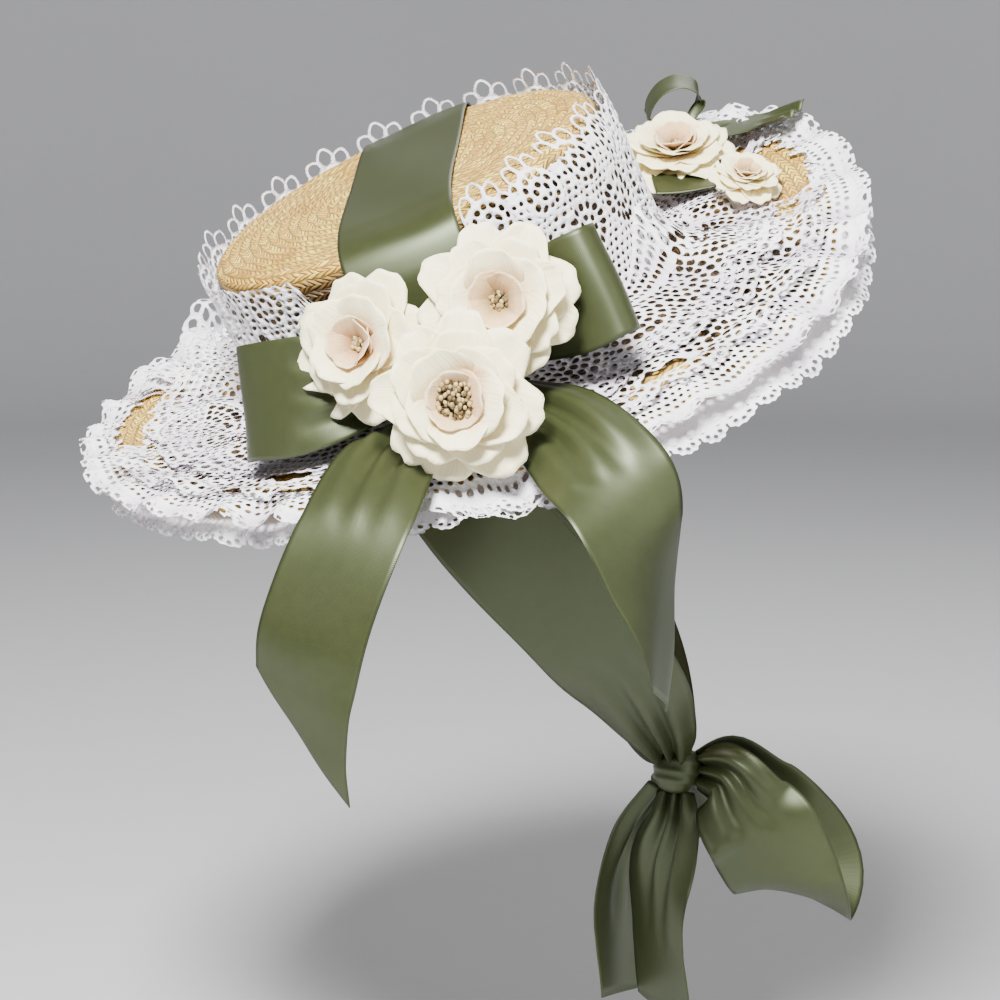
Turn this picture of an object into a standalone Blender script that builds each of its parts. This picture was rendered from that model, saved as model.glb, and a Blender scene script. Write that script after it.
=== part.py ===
"""A straw hat with lace frills, satin bows, cloth flowers and ribbons tied under the chin, as it is worn.

Metres, +Z up. The hat's own frame has its origin in the middle of the head opening, its axis up
through the crown, +X to the wearer's face and -Y to the big bow. Pieces sewn to the straw are made in that frame,
under an empty that leans it as it is worn. Ribbons that hang are made upright, in the world.
"""

import math
from collections import namedtuple

import bmesh
import bpy
import numpy as np
from mathutils import Matrix, Vector

# How the hat is worn: it leans towards -X, then towards -Y
LEAN_SIDE = math.radians(24.0)
LEAN_FORWARD = math.radians(14.5)

# Straw
CROWN_HALF_X = 0.097
CROWN_HALF_Y = 0.086
CROWN_HEIGHT = 0.076
STRAW = 0.002
BRIM_WIDTH = 0.080
BRIM_DROOP = 0.003
BRIM_LEAN = 0.0178
BRIM_LEAN_AT = math.radians(-15.0)
BRIM_WAVE = 0.0055
BRIM_WAVE_AT = math.radians(-50.0)
BRIM_LIFT = 0.015
BRIM_LIFT_AT = math.radians(30.0)
BRIM_CURVE = 1.4

# Cloth
GAP = 0.0004
LACE = 0.0012
SATIN = 0.001
SATIN_WIDTH = 0.054
CROWN_LACE_OFF = 0.0024
LACE_RISE = 0.0125
SCALLOP_DEPTH = 0.0065
SCALLOPS = 22
GAPS_IN_SCALLOP = 3
SCALLOP_DIP_AT = math.radians(-110.0)
BOW_AT = math.radians(-95.0)
BACK_BOW_AT = math.radians(28.0)

# How finely the straw is faceted
CROWN_SIDES = 36
BRIM_SIDES = 48

Ring = namedtuple("Ring", "half_x half_y height")
Station = namedtuple("Station", "x y z across_x across_y across_z width")
Frill = namedtuple("Frill", "reach low high")
CupRow = namedtuple("CupRow", "radius height wave")

# Outer face of the crown, from the head opening to the middle of its top
CROWN_ROWS = [
    Ring(CROWN_HALF_X, CROWN_HALF_Y, 1.5 * GAP),
    Ring(0.0962, 0.0852, 0.040),
    Ring(0.0952, 0.0842, 0.066),
    Ring(0.0936, 0.0826, 0.0715),
    Ring(0.0890, 0.0780, 0.0742),
    Ring(0.0500, 0.0440, 0.0754),
]

COLOURS = {
    "straw": ((0.72, 0.52, 0.28), 0.75),
    "lace": ((0.90, 0.88, 0.87), 0.9),
    "satin": ((0.20, 0.26, 0.11), 0.38),
    "petal": ((0.90, 0.87, 0.76), 0.85),
    "stamen": ((0.42, 0.30, 0.10), 0.8),
}


def clear_scene():
    for obj in list(bpy.data.objects):
        bpy.data.objects.remove(obj, do_unlink=True)


def material(kind):
    found = bpy.data.materials.get(kind)
    if found:
        return found
    made = bpy.data.materials.new(kind)
    made.use_nodes = True
    shader = made.node_tree.nodes["Principled BSDF"]
    colour, roughness = COLOURS[kind]
    shader.inputs["Base Color"].default_value = (*colour, 1.0)
    shader.inputs["Roughness"].default_value = roughness
    shader.inputs["Metallic"].default_value = 0.0
    return made


def worn_rotation():
    """The turn from the hat's own frame to the world."""
    return Matrix.Rotation(LEAN_FORWARD, 4, "X") @ Matrix.Rotation(-LEAN_SIDE, 4, "Y")


def in_world(x, y, z):
    return worn_rotation() @ Vector((x, y, z))


def add_object(name, kind, vertices, faces, parent=None):
    """A mesh object whose faces point outwards."""
    mesh = bpy.data.meshes.new(name)
    mesh.from_pydata([tuple(v) for v in vertices], [], faces)
    build = bmesh.new()
    build.from_mesh(mesh)
    bmesh.ops.recalc_face_normals(build, faces=build.faces)
    build.to_mesh(mesh)
    build.free()
    mesh.shade_smooth()
    mesh.set_sharp_from_angle(angle=math.radians(50))
    mesh.materials.append(material(kind))
    obj = bpy.data.objects.new(name, mesh)
    bpy.context.collection.objects.link(obj)
    obj.parent = parent
    return obj


def solid_of_rings(name, kind, rings, parent, poles=None):
    """One closed body over rings of equal count: with poles, its first and last ring are capped at those two
    points, and without them the last ring joins the first."""
    count = len(rings[0])
    vertices = [v for ring in rings for v in ring]
    faces = []
    for row in range(len(rings) if poles is None else len(rings) - 1):
        after = (row + 1) % len(rings)
        for k in range(count):
            turn = (k + 1) % count
            faces.append((row * count + k, row * count + turn, after * count + turn, after * count + k))
    if poles is not None:
        first, last = len(vertices), len(vertices) + 1
        vertices += [poles[0], poles[1]]
        end = (len(rings) - 1) * count
        for k in range(count):
            turn = (k + 1) % count
            faces.append((first, turn, k))
            faces.append((last, end + k, end + turn))
    return add_object(name, kind, vertices, faces, parent)


def thicken(obj, thickness):
    """A sheet becomes a wall, half of it on each side."""
    wall = obj.modifiers.new("wall", "SOLIDIFY")
    wall.thickness = thickness
    wall.offset = 0.0
    return obj


def azimuths(count):
    return [2 * math.pi * k / count for k in range(count)]


def crown_point(angle, reach, height):
    """A point at an azimuth, a reach out from the foot of the crown, and a height."""
    return (
        (CROWN_HALF_X + reach) * math.cos(angle),
        (CROWN_HALF_Y + reach) * math.sin(angle),
        height,
    )


def brim_height(angle, reach):
    """Height of the top of the brim: it bends more and more towards its edge, down at the right near side, and
    up again at the back."""
    drop = (
        BRIM_DROOP
        + BRIM_LEAN * math.cos(angle - BRIM_LEAN_AT)
        + BRIM_WAVE * math.cos(2 * (angle - BRIM_WAVE_AT))
        - BRIM_LIFT * max(0.0, math.cos(angle - BRIM_LIFT_AT)) ** 3
    )
    return -drop * max(0.0, reach / BRIM_WIDTH) ** BRIM_CURVE


def straw_crown(parent):
    outer = [
        [(r.half_x * math.cos(a), r.half_y * math.sin(a), r.height) for a in azimuths(CROWN_SIDES)]
        for r in CROWN_ROWS
    ]
    inner = [
        [
            ((r.half_x - STRAW) * math.cos(a), (r.half_y - STRAW) * math.sin(a), r.height - drop)
            for a in azimuths(CROWN_SIDES)
        ]
        for r, drop in zip(CROWN_ROWS, [0, 0, STRAW, STRAW, STRAW, STRAW])
    ]
    poles = ((0, 0, CROWN_HEIGHT - STRAW), (0, 0, CROWN_HEIGHT))
    return solid_of_rings("straw_crown", "straw", inner[::-1] + outer, parent, poles)


def straw_brim(parent):
    reaches = [-0.0025, 0.027, 0.054, BRIM_WIDTH]
    top = [
        [crown_point(a, reach, brim_height(a, reach)) for a in azimuths(BRIM_SIDES)] for reach in reaches
    ]
    under = [[(x, y, z - STRAW) for x, y, z in ring] for ring in top]
    return solid_of_rings("straw_brim", "straw", top + under[::-1], parent)


def lace_top(angle):
    """Height of the crown lace's edge: scallops that stand above the straw, but level with it at the bow."""
    dip = max(0.0, math.cos(angle - SCALLOP_DIP_AT)) ** 1.5
    scallop = abs(math.sin(SCALLOPS * angle / 2)) - 1
    return CROWN_HEIGHT + LACE_RISE * (1 - dip) + SCALLOP_DEPTH * scallop


def lace_flare(angle):
    """How far the edge of the crown lace leans out, or in over the straw at the right near side."""
    return 0.003 - 0.009 * max(0.0, math.cos(angle - math.radians(-48))) ** 3


def crown_lace(parent):
    """A band round the crown, whose scalloped edge has a row of gaps cut through it."""
    columns = SCALLOPS * GAPS_IN_SCALLOP
    foot, loop = 4 * GAP, 0.0135
    rim, hem = 0.16, 0.20
    vertices, faces = [], []

    def edge_point(angle, share):
        """share 0 is the foot of the picot loops and 1 the scalloped edge."""
        height = lace_top(angle) - (1 - share) * loop
        reach = CROWN_LACE_OFF + LACE / 2 + share * lace_flare(angle)
        return crown_point(angle, reach, height)

    step = 2 * math.pi / columns
    for k in range(columns):
        a = k * step
        vertices.append(crown_point(a, CROWN_LACE_OFF + LACE / 2, foot))
        vertices.append(edge_point(a, 0.0))
        vertices.append(edge_point(a, 1.0))
        for along, share in ((rim, hem), (1 - rim, hem), (1 - rim, 1 - hem), (rim, 1 - hem)):
            low, high = edge_point(a, share), edge_point(a + step, share)
            vertices.append(tuple(p + (q - p) * along for p, q in zip(low, high)))
    for k in range(columns):
        here, there = 7 * k, 7 * ((k + 1) % columns)
        faces.append((here, there, there + 1, here + 1))
        corner = (here + 1, there + 1, there + 2, here + 2)
        gap = (here + 3, here + 4, here + 5, here + 6)
        for side in range(4):
            turn = (side + 1) % 4
            faces.append((corner[side], corner[turn], gap[turn], gap[side]))
    return thicken(add_object("crown_lace", "lace", vertices, faces, parent), LACE)


def gather(angle, folds, phase):
    """Uneven gathers, from -1 to 1: a wave whose pace varies round the hat."""
    return math.sin(folds * angle + phase + 1.1 * math.sin(3 * angle + phase) + 0.6 * math.sin(5 * angle))


def press(angle):
    """1 where a frill is free to stand, and near 0 where a bow lies on it."""
    near_bow = max(0.0, math.cos(angle - BOW_AT))
    near_back_bow = max(0.0, math.cos(angle - BACK_BOW_AT))
    return 1 - 0.88 * min(1.0, 1.7 * near_bow**2 + 1.5 * near_back_bow**8)


def frill_solid(name, rows, sides, folds, phase, edge_wave, parent, under=False):
    """A gathered frill: each row has its reach from the crown, and the heights between which its gathers swing."""
    above, below = [], []
    for number, row in enumerate(rows):
        last = number == len(rows) - 1
        ring = []
        for a in azimuths(sides):
            wave = gather(a, folds, phase)
            reach = row.reach + (edge_wave * gather(a, folds, phase + 2.0) if last else 0.0)
            swing = (row.high - row.low) * (0.5 + 0.5 * wave) * (1.0 if under else press(a))
            base = brim_height(a, min(reach, BRIM_WIDTH + 0.012)) + row.low + swing
            ring.append(crown_point(a, reach, base))
        below.append(ring)
        above.append([(x, y, z + LACE) for x, y, z in ring])
    return solid_of_rings(name, "lace", above + below[::-1], parent)


BRIM_LACE_ROWS = [
    Frill(0.0046, 2 * GAP, 0.0014),
    Frill(0.028, 2 * GAP, 0.012),
    Frill(0.051, 0.0014, 0.010),
    Frill(0.067, 0.0014, 0.0075),
]
EDGE_LACE_ROWS = [
    Frill(0.0735, 2 * GAP, 0.0010),
    Frill(0.0835, 0.0010, 0.0055),
    Frill(0.0935, -0.0020, 0.0045),
]
UNDER_LACE_ROWS = [
    Frill(0.0730, -STRAW - LACE - GAP - 0.0005, -STRAW - LACE - GAP - 0.0003),
    Frill(0.0830, -0.0085, -0.0060),
    Frill(0.0870, -0.0125, -0.0085),
]


def crown_ribbon(parent):
    """Satin over the crown from the bow to the back: each column follows the crown's outline at its own x."""
    centre_x, columns, lift = 0.0015, 4, 2 * GAP + SATIN / 2
    near_foot, far_foot = 0.034, 0.006
    flat = [-0.056, -0.022, 0.022, 0.056]
    vertices, faces = [], []
    for c in range(columns + 1):
        x = centre_x + SATIN_WIDTH * (c / columns - 0.5)
        wall = [(r.half_y * math.sqrt(1 - (x / r.half_x) ** 2), r.height) for r in CROWN_ROWS[:5]]
        line = [(-(CROWN_HALF_Y - 0.0006) * math.sqrt(1 - (x / CROWN_HALF_X) ** 2) - lift, near_foot)]
        line += [(-y - lift, z + lift * (z > 0.07)) for y, z in wall[1:4]]
        line += [(-wall[4][0], wall[4][1] + lift + 0.0003)]
        line += [(y, CROWN_HEIGHT + lift - 0.0002 * (abs(y) > 0.03)) for y in flat]
        line += [(wall[4][0], wall[4][1] + lift + 0.0003)]
        line += [(y + lift, z + lift * (z > 0.07)) for y, z in wall[3:0:-1]]
        line += [(CROWN_HALF_Y * math.sqrt(1 - (x / CROWN_HALF_X) ** 2) + lift, far_foot)]
        vertices += [(x, y, z) for y, z in line]
    rows = len(vertices) // (columns + 1)
    for c in range(columns):
        for k in range(rows - 1):
            here, there = c * rows + k, (c + 1) * rows + k
            faces.append((here, there, there + 1, here + 1))
    return thicken(add_object("crown_ribbon", "satin", vertices, faces, parent), SATIN)


def smooth_path(stations, steps):
    """Rows of (centre, across, width) on a Catmull-Rom curve through the stations."""
    values = np.array(stations, float)
    padded = np.vstack([2 * values[0] - values[1], values, 2 * values[-1] - values[-2]])
    found = []
    for span in range(len(values) - 1):
        a, b, c, d = padded[span : span + 4]
        for k in range(steps):
            t = k / steps
            found.append(
                0.5 * (2 * b + (c - a) * t + (2 * a - 5 * b + 4 * c - d) * t**2 + (3 * b - a - 3 * c + d) * t**3)
            )
    found.append(values[-1])
    return np.array(found)


def ribbon(name, stations, knot=None, ends=(0,), slant=0.0, parent=None):
    """A satin ribbon along stations, whose named ends meet a knot, given by its centre and radius. With a slant,
    the last end is cut so that the edge against the across side is that much shorter."""
    stations = [list(station) for station in stations]
    for end in ends if knot else ():
        centre, radius = Vector(knot[0]), knot[1]
        out = (Vector(stations[end][:3]) - centre).normalized()
        stations[end][:3] = centre + out * (radius + GAP)
    rows = smooth_path(stations, 2)
    centre, across, width = rows[:, :3], rows[:, 3:6], rows[:, 6]
    along = np.gradient(centre, axis=0)
    along /= np.linalg.norm(along, axis=1)[:, None]
    across = across - along * (across * along).sum(axis=1)[:, None]
    across /= np.linalg.norm(across, axis=1)[:, None]
    share = np.linspace(0, 1, len(rows))
    length = np.linalg.norm(np.diff(centre, axis=0), axis=1).sum()
    vertices, sides = [], (-1, 1)
    for side in sides:
        at = share * (1 - slant / length * (1 - side) / 2)
        edge = [
            np.interp(at, share, centre[:, i]) + side / 2 * np.interp(at, share, across[:, i] * width)
            for i in range(3)
        ]
        vertices += list(np.array(edge).T)
    count = len(rows)
    faces = [(k, count + k, count + k + 1, k + 1) for k in range(count - 1)]
    return thicken(add_object(name, "satin", vertices, faces, parent), SATIN)


# The big bow, in the hat's own frame
KNOT_AT = (0.000, -0.1010, 0.014)
KNOT_RADIUS = 0.011
BOW_KNOT = (KNOT_AT, KNOT_RADIUS)
BOW_LOOP_LEFT = [
    Station(-0.0110, -0.1035, 0.0220, 0.10, 0.20, 1.00, 0.015),
    Station(-0.0360, -0.1185, 0.0345, 0.15, 0.40, 0.90, 0.037),
    Station(-0.0640, -0.1170, 0.0380, 0.26, 0.56, 0.78, SATIN_WIDTH),
    Station(-0.0830, -0.1030, 0.0395, 0.26, 0.56, 0.78, SATIN_WIDTH),
    Station(-0.0885, -0.0915, 0.0395, 0.26, 0.56, 0.78, SATIN_WIDTH),
    Station(-0.0790, -0.0870, 0.0390, 0.26, 0.56, 0.78, SATIN_WIDTH),
    Station(-0.0590, -0.0940, 0.0375, 0.26, 0.56, 0.78, SATIN_WIDTH),
    Station(-0.0350, -0.0985, 0.0330, 0.15, 0.40, 0.90, 0.042),
    Station(-0.0110, -0.0975, 0.0210, 0.10, 0.20, 1.00, 0.016),
]
BOW_LOOP_RIGHT = [
    Station(0.0110, -0.1035, 0.0220, 0.00, 0.15, 1.00, 0.015),
    Station(0.0340, -0.1115, 0.0325, 0.00, 0.35, 0.95, 0.037),
    Station(0.0600, -0.1250, 0.0310, 0.01, 0.47, 0.88, SATIN_WIDTH),
    Station(0.0790, -0.1290, 0.0320, 0.01, 0.47, 0.88, SATIN_WIDTH),
    Station(0.0875, -0.1200, 0.0320, 0.01, 0.47, 0.88, SATIN_WIDTH),
    Station(0.0790, -0.1100, 0.0320, 0.01, 0.47, 0.88, SATIN_WIDTH),
    Station(0.0560, -0.1040, 0.0310, 0.01, 0.47, 0.88, SATIN_WIDTH),
    Station(0.0340, -0.1000, 0.0300, 0.00, 0.35, 0.95, 0.040),
    Station(0.0110, -0.0975, 0.0210, 0.00, 0.15, 1.00, 0.016),
]


def knot(name, centre, radius, parent=None):
    """The wrapped middle of a bow, as a round body of turned rows."""
    sides, rows = 12, 5
    rings = [
        [
            (
                centre[0] + radius * math.sin(math.pi * r / (rows + 1)) * math.cos(a),
                centre[1] + radius * math.sin(math.pi * r / (rows + 1)) * math.sin(a),
                centre[2] + radius * math.cos(math.pi * r / (rows + 1)),
            )
            for a in azimuths(sides)
        ]
        for r in range(1, rows + 1)
    ]
    poles = (
        (centre[0], centre[1], centre[2] + radius),
        (centre[0], centre[1], centre[2] - radius),
    )
    return solid_of_rings(name, "satin", rings, parent, poles)


# Ribbons that hang, in the world
BOW_TAIL_LEFT = [
    Station(-0.0082, -0.1075, -0.0213, 0.95, -0.25, 0.05, 0.016),
    Station(-0.0170, -0.1230, -0.0312, 0.90, -0.38, 0.00, 0.030),
    Station(-0.0310, -0.1460, -0.0400, 0.86, -0.48, -0.05, 0.046),
    Station(-0.0438, -0.1780, -0.0645, 0.78, -0.62, -0.11, SATIN_WIDTH),
    Station(-0.0592, -0.1900, -0.1041, 0.83, -0.54, -0.06, SATIN_WIDTH),
    Station(-0.0640, -0.1880, -0.1300, 0.74, -0.67, -0.03, SATIN_WIDTH),
    Station(-0.0650, -0.1840, -0.1530, 0.72, -0.70, 0.00, SATIN_WIDTH),
    Station(-0.0640, -0.1820, -0.1740, 0.72, -0.70, 0.00, SATIN_WIDTH),
]
BOW_TAIL_RIGHT = [
    Station(0.0050, -0.1090, -0.0180, 0.75, 0.30, 0.45, 0.014),
    Station(0.0205, -0.1290, -0.0205, 0.75, 0.20, 0.60, 0.030),
    Station(0.0405, -0.1560, -0.0270, 0.68, 0.38, 0.62, 0.044),
    Station(0.0592, -0.1830, -0.0435, 0.70, 0.52, 0.47, SATIN_WIDTH),
    Station(0.0692, -0.1940, -0.0645, 0.69, 0.70, 0.21, SATIN_WIDTH),
    Station(0.0760, -0.1910, -0.0896, 0.47, 0.87, -0.08, SATIN_WIDTH),
    Station(0.0805, -0.1870, -0.1150, 0.25, 0.96, -0.08, SATIN_WIDTH),
    Station(0.0820, -0.1830, -0.1500, 0.10, 0.99, -0.05, SATIN_WIDTH),
]
CHIN_KNOT_AT = (0.100, -0.004, -0.215)
CHIN_KNOT_RADIUS = 0.012
CHIN_KNOT = (CHIN_KNOT_AT, CHIN_KNOT_RADIUS)
TIE_NEAR = [
    Station(*in_world(-0.0292, -0.0738, 0.0120), *in_world(0.954, -0.298, 0), SATIN_WIDTH),
    Station(*in_world(-0.0285, -0.0725, -0.0060), *in_world(0.960, -0.290, 0), SATIN_WIDTH),
    Station(0.0060, -0.0830, -0.0760, 0.80, 0.00, 0.60, SATIN_WIDTH),
    Station(0.0440, -0.0760, -0.1200, 0.78, -0.06, 0.62, SATIN_WIDTH),
    Station(0.0740, -0.0530, -0.1610, 0.64, -0.42, 0.62, 0.052),
    Station(0.0900, -0.0260, -0.1930, 0.50, -0.60, 0.60, 0.036),
    Station(0.0950, -0.0130, -0.2070, 0.50, -0.60, 0.60, 0.020),
]
TIE_FAR = [
    Station(*in_world(0.0000, 0.0790, 0.0120), *in_world(1, 0, 0), SATIN_WIDTH),
    Station(*in_world(0.0000, 0.0780, -0.0060), *in_world(1, 0, 0), SATIN_WIDTH),
    Station(0.0220, 0.0880, -0.0600, 0.85, 0.00, 0.50, SATIN_WIDTH),
    Station(0.0540, 0.0800, -0.1180, 0.78, 0.10, 0.62, SATIN_WIDTH),
    Station(0.0800, 0.0520, -0.1680, 0.64, 0.42, 0.62, 0.052),
    Station(0.0935, 0.0200, -0.2000, 0.50, 0.60, 0.60, 0.036),
    Station(0.0970, 0.0050, -0.2080, 0.50, 0.60, 0.60, 0.020),
]
CHIN_LOOP_NEAR = [
    Station(0.1135, -0.0080, -0.2140, 0.25, 0.00, 0.97, 0.020),
    Station(0.1220, -0.0160, -0.2160, 0.62, -0.10, 0.70, 0.034),
    Station(0.1300, -0.0230, -0.2290, 0.90, -0.05, 0.25, 0.048),
    Station(0.1400, -0.0260, -0.2420, 0.96, 0.00, -0.15, SATIN_WIDTH),
    Station(0.1525, -0.0210, -0.2660, 0.96, 0.00, -0.27, SATIN_WIDTH),
    Station(0.1600, -0.0090, -0.2745, 0.96, 0.00, -0.28, SATIN_WIDTH),
    Station(0.1650, 0.0010, -0.2640, 0.96, 0.05, -0.25, SATIN_WIDTH),
    Station(0.1530, 0.0040, -0.2480, 0.95, 0.05, -0.10, SATIN_WIDTH),
    Station(0.1370, 0.0040, -0.2280, 0.85, 0.05, 0.40, 0.046),
    Station(0.1250, 0.0020, -0.2110, 0.45, 0.00, 0.85, 0.026),
    Station(0.1135, -0.0010, -0.2115, 0.10, 0.00, 0.99, 0.014),
]
CHIN_LOOP_FAR = [
    Station(0.1050, 0.0085, -0.2200, 0.85, -0.20, 0.35, 0.018),
    Station(0.1130, 0.0280, -0.2330, 0.92, -0.20, 0.25, 0.040),
    Station(0.1180, 0.0480, -0.2500, 0.95, -0.15, 0.15, SATIN_WIDTH),
    Station(0.1210, 0.0640, -0.2680, 0.95, -0.15, 0.10, SATIN_WIDTH),
    Station(0.1220, 0.0760, -0.2710, 0.95, -0.15, 0.10, SATIN_WIDTH),
    Station(0.1210, 0.0800, -0.2600, 0.95, -0.15, 0.10, SATIN_WIDTH),
    Station(0.1190, 0.0680, -0.2370, 0.95, -0.15, 0.15, SATIN_WIDTH),
    Station(0.1140, 0.0380, -0.2200, 0.92, -0.20, 0.25, 0.040),
    Station(0.1050, 0.0090, -0.2140, 0.90, -0.35, 0.10, 0.014),
]
CHIN_TAIL_FRONT = [
    Station(0.0985, -0.0090, -0.2270, 0.90, -0.30, 0.00, 0.018),
    Station(0.0965, -0.0130, -0.2400, 0.80, -0.60, 0.10, 0.030),
    Station(0.0905, -0.0090, -0.2680, 0.50, -0.86, 0.05, 0.050),
    Station(0.0912, -0.0070, -0.3000, 0.40, -0.91, 0.00, SATIN_WIDTH),
    Station(0.0970, -0.0080, -0.3440, 0.42, -0.90, 0.00, SATIN_WIDTH),
]
CHIN_TAIL_BACK = [
    Station(0.0940, 0.0040, -0.2250, 0.80, 0.50, 0.20, 0.020),
    Station(0.0850, 0.0150, -0.2450, 0.70, 0.70, 0.15, 0.038),
    Station(0.0780, 0.0220, -0.2700, 0.55, 0.83, 0.08, 0.050),
    Station(0.0755, 0.0230, -0.3000, 0.50, 0.86, 0.00, SATIN_WIDTH),
    Station(0.0795, 0.0220, -0.3420, 0.50, 0.86, 0.00, SATIN_WIDTH),
]

# The small bow at the back, in the hat's own frame
BACK_KNOT_AT = (0.121, 0.079, 0.0142)
BACK_KNOT_RADIUS = 0.008
BACK_KNOT = (BACK_KNOT_AT, BACK_KNOT_RADIUS)
BACK_LOOP = [
    Station(0.1165, 0.0860, 0.0204, -0.01, 0.99, -0.03, 0.009),
    Station(0.1095, 0.0940, 0.0235, -0.01, 0.99, -0.03, 0.020),
    Station(0.1085, 0.0945, 0.0290, -0.01, 0.99, -0.03, 0.022),
    Station(0.1125, 0.0940, 0.0350, -0.01, 0.99, -0.03, 0.022),
    Station(0.1200, 0.0940, 0.0390, -0.01, 0.99, -0.03, 0.022),
    Station(0.1295, 0.0940, 0.0385, -0.01, 0.99, -0.03, 0.022),
    Station(0.1355, 0.0940, 0.0325, -0.01, 0.99, -0.03, 0.022),
    Station(0.1344, 0.0940, 0.0265, -0.01, 0.99, -0.03, 0.022),
    Station(0.1285, 0.0900, 0.0220, -0.01, 0.99, -0.03, 0.014),
    Station(0.1245, 0.0860, 0.0197, -0.01, 0.99, -0.03, 0.008),
]
BACK_TAIL_OUT = [
    Station(0.1290, 0.0785, 0.0165, -0.30, 0.95, 0.00, 0.014),
    Station(0.1410, 0.0775, 0.0160, -0.25, 0.95, 0.00, 0.026),
    Station(0.1580, 0.0700, 0.0150, 0.10, 0.99, 0.00, 0.030),
    Station(0.1755, 0.0590, 0.0135, 0.20, 0.97, 0.00, 0.030),
]
BACK_TAIL_NEAR = [
    Station(0.1184, 0.0729, 0.0110, 0.90, -0.43, 0.00, 0.010),
    Station(0.1135, 0.0570, 0.0098, 1.00, 0.05, -0.05, 0.022),
    Station(0.1150, 0.0390, 0.0105, 1.00, 0.00, -0.05, 0.028),
    Station(0.1165, 0.0200, 0.0090, 1.00, 0.00, -0.05, 0.028),
]

# A bloom: where the foot of its cup is, which way it faces, its size, and where its stem ends
Bloom = namedtuple("Bloom", "name x y z face_x face_y face_z radius lobes turn open")
BLOOMS = [
    Bloom("flower_front", 0.0105, -0.1590, 0.0250, 0.08, -0.90, 0.40, 0.0360, 6, 0.3, 1.0),
    Bloom("flower_left", -0.0240, -0.1195, 0.0515, -0.38, -0.82, 0.45, 0.0290, 5, 0.9, 0.9),
    Bloom("flower_right", 0.0375, -0.1300, 0.0450, 0.05, -0.88, 0.45, 0.0330, 6, 0.0, 1.0),
    Bloom("back_flower", 0.1155, 0.0590, 0.0190, 0.30, -0.27, 0.92, 0.0280, 5, 0.4, 0.9),
    Bloom("back_bud", 0.1432, 0.0100, 0.0095, 0.46, -0.30, 0.83, 0.0175, 5, 0.2, 0.7),
]
OUTER_CUP = [
    CupRow(0.22, 0.010, 0.0),
    CupRow(0.55, 0.090, 0.3),
    CupRow(0.82, 0.230, 0.7),
    CupRow(1.00, 0.300, 1.0),
]
PETAL_LIFT = 0.0012
INNER_CUP = [
    CupRow(0.20, 0.080, 0.0),
    CupRow(0.46, 0.230, 0.4),
    CupRow(0.64, 0.430, 1.0),
]


def frame_facing(direction):
    """Three axes at right angles, the last along a direction."""
    facing = Vector(direction).normalized()
    side = facing.cross(Vector((0, 0, 1)))
    if side.length < 0.2:
        side = facing.cross(Vector((0, 1, 0)))
    side.normalize()
    return side, facing.cross(side), facing


def petal_rings(bloom, rows, sides, lift, turn):
    """Rings of a cup of petals: each row has its share of the bloom's radius, its height and how much it waves."""
    side, up, facing = frame_facing((bloom.face_x, bloom.face_y, bloom.face_z))
    foot = Vector((bloom.x, bloom.y, bloom.z))
    rings = []
    for row in rows:
        ring = []
        for a in azimuths(sides):
            lobe = abs(math.cos(bloom.lobes * (a + turn) / 2)) - 0.64
            ripple = math.sin(bloom.lobes * 1.5 * a + 2 * turn)
            reach = bloom.radius * row.radius * (1 + 0.16 * row.wave * lobe)
            height = bloom.radius * (row.height * bloom.open + 0.07 * row.wave * ripple) + lift
            ring.append(foot + reach * (math.cos(a) * side + math.sin(a) * up) + height * facing)
        rings.append(ring)
    return rings


def stem_rings(bloom, sides, radius, target, target_radius):
    """Rings of a stem that bends from the back of the cup to the knot that holds it."""
    side, up, facing = frame_facing((bloom.face_x, bloom.face_y, bloom.face_z))
    foot = Vector((bloom.x, bloom.y, bloom.z))
    target = Vector(target)
    start = foot - facing * 0.0035
    out = (start - target).normalized()
    last = target + out * (target_radius + GAP + radius)
    rings = []
    for centre in (start, last):
        rings.append([centre + radius * (math.cos(a) * side + math.sin(a) * up) for a in azimuths(sides)])
    return rings, target + out * (target_radius + GAP)


def bloom_pieces(bloom, target, target_radius, parent):
    """The outer petals with their stem, the inner petals, and the stamens, each one body."""
    side, up, facing = frame_facing((bloom.face_x, bloom.face_y, bloom.face_z))
    foot = Vector((bloom.x, bloom.y, bloom.z))
    sides = 4 * bloom.lobes
    front = petal_rings(bloom, OUTER_CUP, sides, 0.0, bloom.turn)
    back = petal_rings(bloom, OUTER_CUP[1:], sides, -SATIN, bloom.turn)
    stem, end = stem_rings(bloom, sides, 0.0022, target, target_radius)
    solid_of_rings(
        bloom.name + "_petals", "petal", front + back[::-1] + stem, parent, (foot + facing * 0.0002, end)
    )
    sides = 3 * bloom.lobes
    inside = petal_rings(bloom, INNER_CUP, sides, PETAL_LIFT, bloom.turn + 0.5)
    outside = petal_rings(bloom, INNER_CUP, sides, PETAL_LIFT - SATIN, bloom.turn + 0.5)
    floor = bloom.radius * INNER_CUP[0].height * bloom.open + PETAL_LIFT
    solid_of_rings(
        bloom.name + "_inner",
        "petal",
        inside + outside[::-1],
        parent,
        (foot + facing * floor, foot + facing * 2 * GAP),
    )
    middle, reach = foot + facing * (floor + GAP + 0.0002), bloom.radius * 0.26
    rings = [
        [
            middle + reach * share * (math.cos(a) * side + math.sin(a) * up) + height * facing
            for a in azimuths(10)
        ]
        for share, height in ((0.55, 0.0), (1.0, 0.22 * reach), (0.85, 0.62 * reach))
    ]
    poles = (middle - facing * 0.0002, middle + facing * (0.80 * reach))
    solid_of_rings(bloom.name + "_stamens", "stamen", rings, parent, poles)


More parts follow.
